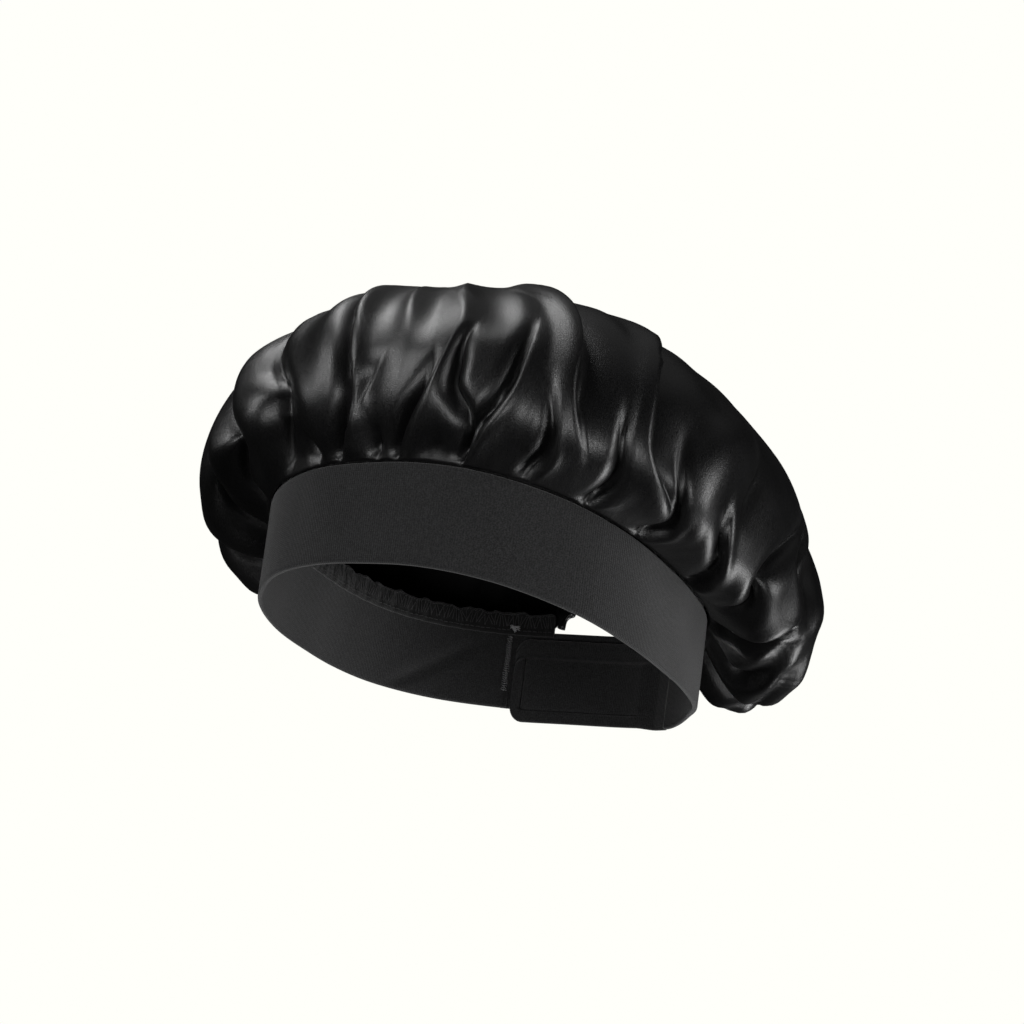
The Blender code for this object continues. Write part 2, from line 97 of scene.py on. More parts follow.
def wave_sum(turn: Grid, climb: Grid, table: Table) -> Grid:
    """Sine waves round the head, added up.

    Args:
        turn: radians round the head.
        climb: how far up, as levels or shares.
        table: each wave's height, its count round the head, its slant, and its start in radians.

    Returns:
        The sum at each place.
    """
    return sum(height * np.sin(count * turn + slant * climb + start)
               for height, count, slant, start in table)


def outward(azimuth: Grid) -> Grid:
    """Level unit vectors away from the middle."""
    turn = np.radians(azimuth)
    return np.stack([np.cos(turn), np.sin(turn), 0 * turn], -1)


def linked(name: str, data: bpy.types.ID) -> bpy.types.Object:
    """A new object in the scene, with its data."""
    made = bpy.data.objects.new(name, data)
    bpy.context.scene.collection.objects.link(made)
    return made


class Value:
    """An output socket that takes part in Python sums, and adds a Math node for each."""

    def __init__(self, tree: "Tree", socket: bpy.types.NodeSocket) -> None:
        """Wrap a socket of a tree."""
        self.tree = tree
        self.socket = socket

    def _math(self, operation: str, first: "Input", second: "Input" = 0.0) -> "Value":
        """One Math node on two values."""
        return self.tree.value("ShaderNodeMath", {"operation": operation}, {0: first, 1: second})

    def __add__(self, other: "Input") -> "Value":
        """Sum."""
        return self._math("ADD", self, other)

    def __sub__(self, other: "Input") -> "Value":
        """Difference."""
        return self._math("SUBTRACT", self, other)

    def __mul__(self, other: "Input") -> "Value":
        """Product."""
        return self._math("MULTIPLY", self, other)

    def __truediv__(self, other: "Input") -> "Value":
        """Quotient."""
        return self._math("DIVIDE", self, other)

    def __rsub__(self, other: float) -> "Value":
        """A number less this value."""
        return self._math("SUBTRACT", other, self)

    __radd__ = __add__
    __rmul__ = __mul__

    def sine(self) -> "Value":
        """Sine of the value."""
        return self._math("SINE", self)

    def size(self) -> "Value":
        """The value without its sign."""
        return self._math("ABSOLUTE", self)

    def clamped(self) -> "Value":
        """The value held between 0 and 1."""
        return self.tree.value("ShaderNodeClamp", {}, {0: self, 1: 0.0, 2: 1.0})


Input = Union[Value, float, int, bool, tuple, bpy.types.Material]


class Tree:
    """A node tree that is built by one method for every kind of node."""

    def __init__(self, tree: bpy.types.NodeTree) -> None:
        """Wrap a node tree."""
        self.tree = tree

    def feed(self, node: bpy.types.Node, inputs: dict) -> None:
        """Give the sockets of a node their values or links.

        Args:
            node: the node.
            inputs: values or links, by the socket's name or number.
        """
        for key, value in inputs.items():
            if isinstance(key, int):
                socket = node.inputs[key]
            else:
                socket = next(one for one in node.inputs if one.name == key and one.enabled)
            if isinstance(value, Value):
                self.tree.links.new(value.socket, socket)
            else:
                socket.default_value = value

    def node(self, kind: str, settings: dict, inputs: dict) -> bpy.types.Node:
        """Add a node.

        Args:
            kind: the node's type.
            settings: its properties, which are set first.
            inputs: values or links, by the socket's name or number.

        Returns:
            The new node.
        """
        node = self.tree.nodes.new(kind)
        for name, value in settings.items():
            setattr(node, name, value)
        self.feed(node, inputs)
        return node

    def value(self, kind: str, settings: dict, inputs: dict, output: Union[int, str] = 0) -> Value:
        """Add a node and take one of its outputs."""
        return Value(self, self.node(kind, settings, inputs).outputs[output])

    def axes(self, vector: Value) -> tuple[Value, ...]:
        """The three numbers of a vector."""
        outputs = self.node("ShaderNodeSeparateXYZ", {}, {0: vector}).outputs
        return tuple(Value(self, output) for output in outputs)

    def joined(self, x: Input, y: Input, z: Input) -> Value:
        """A vector from three numbers."""
        return self.value("ShaderNodeCombineXYZ", {}, {0: x, 1: y, 2: z})

    def noise(self, vector: Value, scale: float, detail: float = 2.0) -> Value:
        """Smooth noise from 0 to 1 over a vector."""
        return self.value("ShaderNodeTexNoise", {}, {"Vector": vector, "Scale": scale, "Detail": detail})

    def blend(self, amount: Value, dark: Point, light: Point) -> Value:
        """A colour between two, by an amount from 0 to 1."""
        return self.value("ShaderNodeMix", {"data_type": "RGBA"},
                          {"Factor": amount, "A": (*dark, 1.0), "B": (*light, 1.0)}, 2)

    def bump(self, height: Value, depth: float, under: Union[Value, None] = None) -> Value:
        """A normal from a height.

        Args:
            height: from 0 to 1.
            depth: the metres that a height of 1 stands for.
            under: a normal that lies below this one.

        Returns:
            The normal.
        """
        inputs = {"Strength": 1.0, "Distance": depth, "Height": height}
        if under is not None:
            inputs["Normal"] = under
        return self.value("ShaderNodeBump", {}, inputs)


class ClothTree(Tree):
    """The tree of a new material, with one Principled shader."""

    def __init__(self, name: str) -> None:
        """Make the material."""
        self.material = bpy.data.materials.new(name)
        self.material.use_nodes = True
        super().__init__(self.material.node_tree)
        self.place = self.value("ShaderNodeTexCoord", {}, {}, "Object")

    def map_axes(self) -> tuple[Value, Value]:
        """The cloth's own map, across and up, in metres."""
        across, up, _ = self.axes(self.value("ShaderNodeUVMap", {"uv_map": CLOTH_MAP}, {}))
        return across, up

    def dressed(self, inputs: dict) -> bpy.types.Material:
        """The material, once its shader has its inputs."""
        self.feed(self.tree.nodes["Principled BSDF"], inputs)
        return self.material


@dataclass(frozen=True)
class SatinFinish:
    """Black satin: a soft broad sheen over fine warp threads, with faint gathers in the light."""

    name: str = "black_satin"
    dark: Point = (0.0022, 0.0022, 0.0024)
    light: Point = (0.0045, 0.0045, 0.0049)
    roughness: float = 0.37
    shine: float = 0.80
    cloud_scale: float = 55.0
    cloud_rough: float = 0.10
    weave_rough: float = 0.45
    thread: float = 0.00040
    thread_depth: float = 0.000085
    gather: float = 0.0050
    gather_stretch: float = 7.0
    gather_depth: float = 0.00030
    seam_share: float = 0.75
    gathered_height: float = 0.050
    smooth_height: float = 0.140

    def material(self) -> bpy.types.Material:
        """Make the finish as a material, on the cloth's own map and place.

        Returns:
            The material.
        """
        cloth = ClothTree(self.name)
        across, up = cloth.map_axes()
        weave = cloth.noise(cloth.place, 1 / self.thread, 1.0)
        cloud = cloth.noise(cloth.place, self.cloud_scale, 3.0)
        stretched = cloth.joined(across / self.gather, up / (self.gather * self.gather_stretch), 0.0)
        near_seam = (1.0 - up / self.gathered_height).clamped()
        below_top = (1.0 - up / self.smooth_height).clamped()
        drawn = (1 - self.seam_share) * below_top + self.seam_share * near_seam
        tucked = cloth.bump(cloth.noise(stretched, 1.0) * drawn, self.gather_depth)
        return cloth.dressed({
            "Base Color": cloth.blend(cloud, self.dark, self.light),
            "Roughness": self.roughness + (cloud - 0.5) * self.cloud_rough + (weave - 0.5) * self.weave_rough,
            "Specular IOR Level": self.shine,
            "Normal": cloth.bump(weave, self.thread_depth, tucked),
        })


@dataclass(frozen=True)
class KnitFinish:
    """Charcoal fine jersey: upright wales crossed by courses, matte, with a slight heather."""

    name: str = "charcoal_knit"
    dark: Point = (0.008, 0.008, 0.0083)
    light: Point = (0.036, 0.036, 0.0372)
    wale: float = 0.00095
    course: float = 0.00080
    course_share: float = 0.45
    course_slant: float = 1.6
    drift_scale: float = 90.0
    wale_drift: float = 2.5
    course_drift: float = 2.0
    fuzz_scale: float = 1900.0
    cloud_scale: float = 35.0
    base_tone: float = 0.10
    stitch_tone: float = 0.25
    fuzz_tone: float = 3.4
    cloud_tone: float = 0.35
    roughness: float = 0.82
    fuzz_rough: float = 0.12
    shine: float = 0.30
    sheen: float = 0.25
    sheen_rough: float = 0.55
    depth: float = 0.00014
    stitch_height: float = 0.8
    fuzz_height: float = 0.4

    def material(self) -> bpy.types.Material:
        """Make the finish as a material, on the cloth's own map and place.

        Returns:
            The material.
        """
        cloth = ClothTree(self.name)
        across, up = cloth.map_axes()
        drift = cloth.noise(cloth.place, self.drift_scale)
        wales = (across * (math.pi / self.wale) + drift * self.wale_drift).sine().size()
        slant = (across * (2 * math.pi / self.wale)).sine().size() * self.course_slant
        courses = (up * (2 * math.pi / self.course) + slant + drift * self.course_drift).sine() * 0.5 + 0.5
        fuzz = cloth.noise(cloth.place, self.fuzz_scale, 3.0)
        cloud = cloth.noise(cloth.place, self.cloud_scale, 3.0)
        stitch = wales * ((1 - self.course_share) + self.course_share * courses)
        tone = (stitch * self.stitch_tone + (fuzz - 0.5) * self.fuzz_tone + cloud * self.cloud_tone
                + self.base_tone).clamped()
        return cloth.dressed({
            "Base Color": cloth.blend(tone, self.dark, self.light),
            "Roughness": self.roughness + self.fuzz_rough * fuzz,
            "Specular IOR Level": self.shine,
            "Sheen Weight": self.sheen,
            "Sheen Roughness": self.sheen_rough,
            "Normal": cloth.bump(stitch * self.stitch_height + fuzz * self.fuzz_height, self.depth),
        })


@dataclass(frozen=True)
class ThreadFinish:
    """Spun sewing thread, with its twist."""

    name: str
    dark: Point
    light: Point
    twist: float = 0.0004
    steepness: float = 1.7
    depth: float = 0.00004
    fuzz_scale: float = 3000.0
    roughness: float = 0.62
    fuzz_rough: float = 0.2
    shine: float = 0.4

    def material(self) -> bpy.types.Material:
        """Make the finish as a material over the object's own place.

        Returns:
            The material.
        """
        cloth = ClothTree(self.name)
        x, y, z = cloth.axes(cloth.place)
        ply = ((x + y + z * self.steepness) * (2 * math.pi / self.twist)).sine() * 0.5 + 0.5
        fuzz = cloth.noise(cloth.place, self.fuzz_scale)
        return cloth.dressed({
            "Base Color": cloth.blend((ply * 0.5 + fuzz * 0.5).clamped(), self.dark, self.light),
            "Roughness": self.roughness + self.fuzz_rough * fuzz,
            "Specular IOR Level": self.shine,
            "Normal": cloth.bump(ply, self.depth),
        })


@dataclass(frozen=True)
class TapeFinish:
    """Hook and loop tape: a dull bed of tiny loops."""

    name: str = "fastening_tape"
    dark: Point = (0.008, 0.008, 0.008)
    light: Point = (0.030, 0.030, 0.031)
    loop_scale: float = 900.0
    loop_depth: float = 0.0003
    fuzz_scale: float = 2200.0
    fuzz_tone: float = 0.3
    roughness: float = 0.85
    fuzz_rough: float = 0.1

    def material(self) -> bpy.types.Material:
        """Make the finish as a material over the object's own place.

        Returns:
            The material.
        """
        cloth = ClothTree(self.name)
        loops = cloth.value("ShaderNodeTexVoronoi", {}, {"Vector": cloth.place, "Scale": self.loop_scale})
        fuzz = cloth.noise(cloth.place, self.fuzz_scale)
        return cloth.dressed({
            "Base Color": cloth.blend((loops + fuzz * self.fuzz_tone).clamped(), self.dark, self.light),
            "Roughness": self.roughness + self.fuzz_rough * fuzz,
            "Normal": cloth.bump(loops, self.loop_depth),
        })


@dataclass(frozen=True)
class BandForm:
    """The head band's outer face: a leaning oval with a saddle-shaped rim, in metres."""

    half_width: float = 0.0868
    half_length: float = 0.0908
    squareness: float = 2.43
    height: float = 0.0370
    wall: float = 0.0024
    spread: float = 0.0009
    lean: float = 0.0068
    rim_arch: float = 0.0027
    rim_sag: float = 0.0050
    clearance: float = 0.0003
    end_clearance: float = 0.0007

    def point(self, azimuth: Grid, level: Grid, depth: Grid = 0.0) -> Grid:
        """Points of the band.

        Args:
            azimuth: degrees round the head.
            level: 0 at the rim and 1 at the top edge.
            depth: metres inside the outer face.

        Returns:
            The points, with the last axis for x, y and z.
        """
        turn = np.radians(azimuth)
        half_x = self.half_width + self.spread * level
        half_y = self.half_length + self.spread * level
        reach = (np.abs(np.cos(turn) / half_x) ** self.squareness
                 + np.abs(np.sin(turn) / half_y) ** self.squareness) ** (-1 / self.squareness)
        saddle = (self.rim_arch * (reach * np.sin(turn) / half_y) ** 2
                  - self.rim_sag * (reach * np.cos(turn) / half_x) ** 2)
        x = (reach - depth) * np.cos(turn)
        y = (reach - depth) * np.sin(turn) - self.lean * level
        z = self.height * level + saddle
        return np.stack(np.broadcast_arrays(x, y, z), -1)

    def degrees(self, length: float) -> float:
        """The azimuth that a length takes along the back."""
        return math.degrees(length / self.half_length)


@dataclass(frozen=True)
class ClosurePlan:
    """Where the closure's pieces lie behind, as lengths along the band and azimuths."""

    band: BandForm
    azimuth: float = 83.0
    gap_width: float = 0.0440
    gap_height: float = 0.0150
    gap_roundness: float = 0.6
    join_width: float = 0.0885
    hem_radius: float = 0.0018
    strap_wall: float = 0.0016
    strap_tuck: float = 0.0030
    patch_wall: float = 0.0012
    tab_wall: float = 0.0018
    tab_bend: float = 0.0160
    tab_inset: float = 0.0015
    tab_drop: float = 0.0045
    tab_corner: float = 0.0070
    tab_tilt: float = 0.0022
    stitch_inset: float = 0.0050
    stitch_levels: tuple[float, float] = (0.15, 0.74)

    @property
    def gap_spread(self) -> float:
        """Half the gap's width, in degrees."""
        return self.band.degrees(self.gap_width) / 2

    @property
    def band_ends(self) -> tuple[float, float]:
        """Azimuths of the band's left end, less a whole turn, and of its right end."""
        spread = self.band.degrees(self.join_width) / 2
        return self.azimuth + spread - 360, self.azimuth - spread

    @property
    def tab_ends(self) -> tuple[float, float]:
        """Azimuths of the tab's sewn end and of its free end."""
        step = self.band.degrees(self.band.end_clearance)
        left, right = self.band_ends
        return right + step, left + 360 - step - self.band.degrees(self.tab_inset)

    @property
    def strap_ends(self) -> tuple[float, float]:
        """Azimuths of the strap's free end and of its sewn end, tucked into the band's fold."""
        free = self.tab_ends[0] + self.band.degrees(self.tab_bend + self.band.end_clearance)
        return free, self.band_ends[0] + 360 + self.band.degrees(self.strap_tuck)

    @property
    def tab_depth(self) -> float:
        """How far inside the strap's outer face the tab's outer face lies."""
        return self.strap_wall + self.patch_wall + 2 * self.band.clearance

    def arch(self, azimuth: Grid) -> Grid:
        """Height of the gap's round top above the strap, 0 outside the gap."""
        inside = np.clip(1 - (around(azimuth, self.azimuth) / self.gap_spread) ** 2, 0, 1)
        return self.gap_height * inside**self.gap_roundness


class Mesher:
    """Makes meshes from grids of points, with the cloth's own map in metres."""

    @staticmethod
    def make(name: str, points: Grid, faces: Sequence[Sequence[int]], uv: Grid,
             *materials: bpy.types.Material) -> bpy.types.Object:
        """An object in the scene.

        Args:
            name: the piece's name.
            points: its points, one row each.
            faces: the point numbers round each face.
            uv: one map place for each corner of each face.
            materials: its finishes, of which the first is on every face.

        Returns:
            The object, at the origin, with smooth shading.
        """
        mesh = bpy.data.meshes.new(name)
        mesh.from_pydata(points.tolist(), [], faces)
        layer = mesh.uv_layers.new(name=CLOTH_MAP)
        layer.data.foreach_set("uv", np.asarray(uv, np.float32).ravel())
        for material in materials:
            mesh.materials.append(material)
        mesh.shade_smooth()
        return linked(name, mesh)

    @staticmethod
    def grid_faces(rows: int, columns: int, wrap_columns: bool, wrap_rows: bool) -> tuple[Grid, Grid]:
        """Faces over a grid, with the row and column of each corner counted past the wrap.

        Args:
            rows: how many rows of points.
            columns: how many columns of points.
            wrap_columns: whether the last column joins the first.
            wrap_rows: whether the last row joins the first.

        Returns:
            The faces as point numbers, and their corners as row and column.
        """
        spans = np.arange(rows - (not wrap_rows)), np.arange(columns - (not wrap_columns))
        row, column = np.meshgrid(*spans, indexing="ij")
        corner = np.stack([np.stack([row + a, column + b], -1)
                           for a, b in ((0, 0), (0, 1), (1, 1), (1, 0))], -2).reshape(-1, 4, 2)
        return (corner[..., 0] % rows) * columns + corner[..., 1] % columns, corner

    @classmethod
    def tube(cls, name: str, points: Grid, along: Grid, girth: Grid,
             material: bpy.types.Material) -> bpy.types.Object:
        """A closed tube with end caps.

        Args:
            name: the piece's name.
            points: a row for each point of its section, an even number of them, and a column for
                each place that the section stands at.
            along: the map's place along the tube for each column.
            girth: the map's place round the section for each row, and once more where it closes.
            material: its finish.

        Returns:
            The object.
        """
        rows, columns = points.shape[:2]
        faces, corner = cls.grid_faces(rows, columns, False, True)
        caps = []
        for column, order in ((0, 1), (columns - 1, -1)):
            for row in range(rows // 2 - 1):
                ring = [row, row + 1, rows - 2 - row, rows - 1 - row]
                caps.append([one * columns + column for one in ring[::order]])
        flat = points.reshape(-1, 3)
        side_uv = np.stack([along[corner[..., 1]], girth[corner[..., 0]]], -1)
        cap_uv = flat[np.array(caps)][..., ::2]
        return cls.make(name, flat, faces.tolist() + caps, np.vstack([side_uv, cap_uv]), material)

    @classmethod
    def strip(cls, name: str, section: Grid, azimuths: Grid, place: Place,
              material: bpy.types.Material) -> bpy.types.Object:
        """A closed strip of cloth: a closed section carried along the azimuths, with end caps.

        Args:
            name: the piece's name.
            section: level and depth round the section, up the outer face and down the inner one.
            azimuths: where the section stands, from end to end, as seen from above anticlockwise.
            place: gives the points for azimuth, level and depth.
            material: its finish.

        Returns:
            The object.
        """
        level, depth = (section[:, k][:, None] + 0 * azimuths for k in (0, 1))
        points = place(azimuths[None, :] + 0 * level, level, depth)
        middle = points[:, len(azimuths) // 2]
        along, girth = (np.concatenate([[0], np.cumsum(np.linalg.norm(np.diff(line, axis=0), axis=1))])
                        for line in (points[0], np.vstack([middle, middle[:1]])))
        return cls.tube(name, points, along, girth, material)


def strip_section(low: float, high: float, wall: float, height: float, depth: float = 0.0,
                  face_steps: int = 14, edge_steps: int = 5) -> Grid:
    """A thin closed section with round edges, as level and depth.

    Args:
        low: level of its lower edge.
        high: level of its upper edge.
        wall: its thickness in metres.
        height: metres for one level.
        depth: metres from the band's outer face to its own.
        face_steps: points on each flat face.
        edge_steps: points on each round edge.

    Returns:
        The section's points, an even number of them.
    """
    radius = wall / 2
    round_level = radius / height
    up = np.linspace(low + round_level, high - round_level, face_steps)
    turn = np.linspace(0, math.pi, edge_steps + 2)[1:-1]
    top = np.stack([up[-1] + round_level * np.sin(turn), depth + radius - radius * np.cos(turn)], -1)
    bottom = np.stack([up[0] - round_level * np.sin(turn), depth + radius + radius * np.cos(turn)], -1)
    outer = np.stack([up, np.full(face_steps, depth)], -1)
    inner = np.stack([up[::-1], np.full(face_steps, depth + wall)], -1)
    return np.vstack([outer, top, inner, bottom])


@dataclass(frozen=True)
class Stitch:
    """One kind of sewn thread: its lengths in metres, its turn and looseness in radians."""

    spacing: float
    length: float
    rise: float
    radius: float
    turn: float
    looseness: float
    seed: int


class StitchRow:
    """Lays one small arched thread at every step along a path, with Geometry Nodes."""

    NUMBERS = ("Spacing", "Length", "Rise", "Radius", "Turn", "Looseness")
    INPUTS = (("Geometry", "Geometry"), *((name, "Float") for name in NUMBERS), ("Seed", "Int"),
              ("Finish", "Material"))
    SIDES = 5
    LEAST_STRETCH = 0.88
    MOST_STRETCH = 1.10
    STRETCH_SEED = 7

    def __init__(self) -> None:
        """Build the tree once for every row."""
        self.group = bpy.data.node_groups.new("stitch_row", "GeometryNodeTree")
        face = self.group.interface
        for name, kind in self.INPUTS:
            face.new_socket(name, in_out="INPUT", socket_type="NodeSocket" + kind)
        face.new_socket("Geometry", in_out="OUTPUT", socket_type="NodeSocketGeometry")
        tree = Tree(self.group)
        start = tree.node("NodeGroupInput", {}, {})
        given = {socket.name: Value(tree, socket) for socket in start.outputs if socket.name}
        path = tree.value("GeometryNodeMeshToCurve", {}, {"Mesh": given["Geometry"]})
        path = tree.value("GeometryNodeResampleCurve", {"mode": "LENGTH"},
                          {"Curve": path, "Length": given["Spacing"]})
        facing = tree.value("GeometryNodeInputNamedAttribute", {"data_type": "FLOAT_VECTOR"},
                            {"Name": FACING})
        tangent = tree.value("GeometryNodeInputTangent", {}, {})
        upright = tree.value("FunctionNodeAlignRotationToVector", {"axis": "Z"}, {"Vector": facing})
        along = tree.value("FunctionNodeAlignRotationToVector", {"axis": "X", "pivot_axis": "Z"},
                           {"Rotation": upright, "Vector": tangent})
        sway = tree.value("FunctionNodeRandomValue", {"data_type": "FLOAT"},
                          {"Min": -1.0, "Max": 1.0, "Seed": given["Seed"]}, 1)
        turned = tree.joined(0.0, 0.0, given["Turn"] + sway * given["Looseness"])
        along = tree.value("FunctionNodeRotateRotation", {"rotation_space": "LOCAL"},
                           {"Rotation": along, "Rotate By": turned})
        half = given["Length"] * 0.5
        arc = tree.value("GeometryNodeCurveQuadraticBezier", {},
                         {"Resolution": self.SIDES, "Start": tree.joined(half * -1.0, 0.0, 0.0),
                          "Middle": tree.joined(0.0, 0.0, given["Rise"] * 2.0),
                          "End": tree.joined(half, 0.0, 0.0)})
        ring = tree.value("GeometryNodeCurvePrimitiveCircle", {"mode": "RADIUS"},
                          {"Resolution": self.SIDES, "Radius": given["Radius"]})
        thread = tree.value("GeometryNodeCurveToMesh", {},
                            {"Curve": arc, "Profile Curve": ring, "Fill Caps": True})
        stretch = tree.value("FunctionNodeRandomValue", {"data_type": "FLOAT"},
                             {"Min": self.LEAST_STRETCH, "Max": self.MOST_STRETCH,
                              "Seed": given["Seed"] + self.STRETCH_SEED}, 1)
        laid = tree.value("GeometryNodeInstanceOnPoints", {},
                          {"Points": path, "Instance": thread, "Rotation": along,
                           "Scale": tree.joined(stretch, 1.0, 1.0)})
        real = tree.value("GeometryNodeRealizeInstances", {}, {"Geometry": laid})
        real = tree.value("GeometryNodeSetShadeSmooth", {}, {"Geometry": real})
        real = tree.value("GeometryNodeSetMaterial", {}, {"Geometry": real, "Material": given["Finish"]})
        tree.node("NodeGroupOutput", {}, {0: real})

    def lay(self, name: str, runs: Sequence[Run], stitch: Stitch,
            finish: bpy.types.Material) -> bpy.types.Object:
        """Lay threads along paths and keep them as a plain mesh.

        Args:
            name: the piece's name.
            runs: for each path its points, and the way that the cloth faces at each.
            stitch: the kind of thread.
            finish: its finish.

        Returns:
            The object, at the origin.
        """
        counts = [len(points) for points, _ in runs]
        starts = np.cumsum([0] + counts)
        edges = [(start + k, start + k + 1) for start, count in zip(starts, counts) for k in range(count - 1)]
        mesh = bpy.data.meshes.new(name + "_path")
        mesh.from_pydata(np.vstack([points for points, _ in runs]).tolist(), edges, [])
        facing = mesh.attributes.new(FACING, "FLOAT_VECTOR", "POINT")
        ways = np.vstack([ways for _, ways in runs])
        facing.data.foreach_set("vector", ways.astype(np.float32).ravel())
        guide = linked(name + "_path", mesh)
        modifier = guide.modifiers.new("stitches", "NODES")
        modifier.node_group = self.group
        inputs = {key.capitalize(): value for key, value in asdict(stitch).items()}
        inputs["Finish"] = finish
        for item in self.group.interface.items_tree:
            if item.in_out == "INPUT" and item.name in inputs:
                modifier[item.identifier] = inputs[item.name]
        bpy.context.view_layer.update()
        graph = bpy.context.evaluated_depsgraph_get()
        made = bpy.data.meshes.new_from_object(guide.evaluated_get(graph), depsgraph=graph)
        made.name = name
        guide.modifiers.remove(modifier)
        bpy.data.objects.remove(guide)
        return linked(name, made)


class Side(Enum):
    """How the two sides of a fold stand at its line, as shares of the fold's depth, left and right."""

    VALLEY = (-1.0, -1.0)
    LAP = (-0.90, 0.35)
    STEP = (0.55, -0.55)
    CREST = (0.70, 0.70)
    DIP = (-0.55, -0.55)


@dataclass(frozen=True)
class Fold:
    """A fold of the crown.

    Its line is given by azimuth, share of the way up, and strength at each knot. The reaches are
    how far its left and right side go, as shares of the crown's fold reach.
    """

    side: Side
    left_reach: float
    right_reach: float
    line: tuple[tuple[float, float, float], ...]


FORM_COLUMNS = ("azimuth", "out", "wide", "lip", "slope", "low", "rise", "flat")
FORM_ROWS = (
    (-135, 0.82, 0.24, 0.55, 24, 0.28, 0.49, 0.57),
    (-90, 0.54, 0.36, 0.42, 50, 0.24, 0.41, 0.68),
    (-45, 0.64, 0.32, 0.66, 28, 0.30, 0.35, 0.76),
    (0, 0.92, 0.25, 1.15, -24, 0.35, 0.36, 0.74),
    (40, 1.16, 0.07, 1.30, -56, 0.42, 0.56, 0.60),
    (60, 1.12, 0.10, 1.25, -52, 0.40, 0.56, 0.52),
    (78, 0.95, 0.42, 0.60, 18, 0.20, 0.40, 0.46),
    (102, 0.95, 0.48, 0.55, 30, 0.18, 0.40, 0.42),
    (134, 1.26, 0.16, 1.10, -24, 0.38, 0.60, 0.41),
    (180, 1.14, 0.21, 1.05, -30, 0.44, 0.52, 0.47),
)
V, L, S, C, D = Side.VALLEY, Side.LAP, Side.STEP, Side.CREST, Side.DIP
SIDE_LOBE_FOLDS = (
    Fold(V, 1.0, 1.0, ((-178, 0.00, 0.5), (-172, 0.08, 0.9), (-166, 0.16, 0.9), (-160, 0.30, 0.5),
                       (-158, 0.40, 0.0))),
    Fold(V, 1.2, 1.2, ((-160, 0.00, 0.6), (-151, 0.09, 1.0), (-146, 0.12, 1.1), (-141, 0.17, 1.0),
                       (-138, 0.26, 0.6), (-136, 0.38, 0.0))),
    Fold(V, 1.2, 1.0, ((-142, 0.00, 0.6), (-137, 0.06, 1.0), (-129, 0.09, 1.1), (-127, 0.13, 1.1),
                       (-129, 0.19, 1.1), (-131, 0.25, 1.0), (-137, 0.44, 0.0))),
    Fold(V, 1.3, 1.3, ((-119, 0.00, 0.5), (-116, 0.05, 0.9), (-113, 0.09, 1.1), (-112, 0.14, 1.2),
                       (-112, 0.18, 1.2), (-116, 0.24, 1.2), (-119, 0.28, 1.1), (-126, 0.50, 0.0))),
)
FRONT_FOLDS = (
    Fold(L, 0.6, 0.6, ((-101, 0.00, 0.6), (-96, 0.08, 0.8), (-94, 0.14, 0.8), (-96, 0.25, 0.9),
                       (-99, 0.35, 0.7), (-102, 0.50, 0.3), (-104, 0.66, 0.0))),
    Fold(V, 0.7, 0.9, ((-94, 0.08, 0.0), (-92, 0.12, 0.3), (-90, 0.15, 0.3), (-86, 0.20, 0.0))),
    Fold(L, 0.55, 0.6, ((-85, 0.00, 0.7), (-83, 0.04, 0.8), (-80, 0.09, 0.8), (-77, 0.14, 0.6),
                        (-75, 0.20, 0.3), (-73, 0.27, 0.0))),
    Fold(V, 0.5, 0.5, ((-66, 0.05, 0.0), (-69, 0.10, 0.6), (-72, 0.14, 0.7), (-72, 0.19, 0.7),
                       (-72, 0.23, 0.4), (-70, 0.28, 0.0))),
    Fold(L, 0.55, 0.6, ((-69, 0.00, 0.7), (-66, 0.07, 0.8), (-63, 0.12, 0.8), (-61, 0.17, 0.7),
                        (-60, 0.24, 0.4), (-59, 0.32, 0.0))),
    Fold(D, 1.0, 1.0, ((-77, 0.20, 0.0), (-79, 0.30, 0.8), (-83, 0.42, 0.8), (-88, 0.58, 0.0))),
    Fold(D, 1.0, 1.0, ((-67, 0.24, 0.0), (-68, 0.33, 0.8), (-72, 0.45, 0.8), (-77, 0.60, 0.0))),
    Fold(D, 1.0, 1.0, ((-107, 0.12, 0.0), (-108, 0.22, 0.7), (-111, 0.34, 0.7), (-117, 0.50, 0.0))),
    Fold(D, 0.8, 0.8, ((-88, 0.20, 0.0), (-90, 0.30, 0.6), (-94, 0.42, 0.6), (-98, 0.56, 0.0))),
    Fold(V, 0.4, 0.4, ((-108, 0.00, 0.5), (-108, 0.04, 0.4), (-110, 0.10, 0.0))),
    Fold(V, 0.4, 0.4, ((-91, 0.00, 0.6), (-90, 0.03, 0.4), (-89, 0.07, 0.0))),
    Fold(V, 0.4, 0.4, ((-77, 0.00, 0.5), (-75, 0.03, 0.4), (-72, 0.07, 0.0))),
)
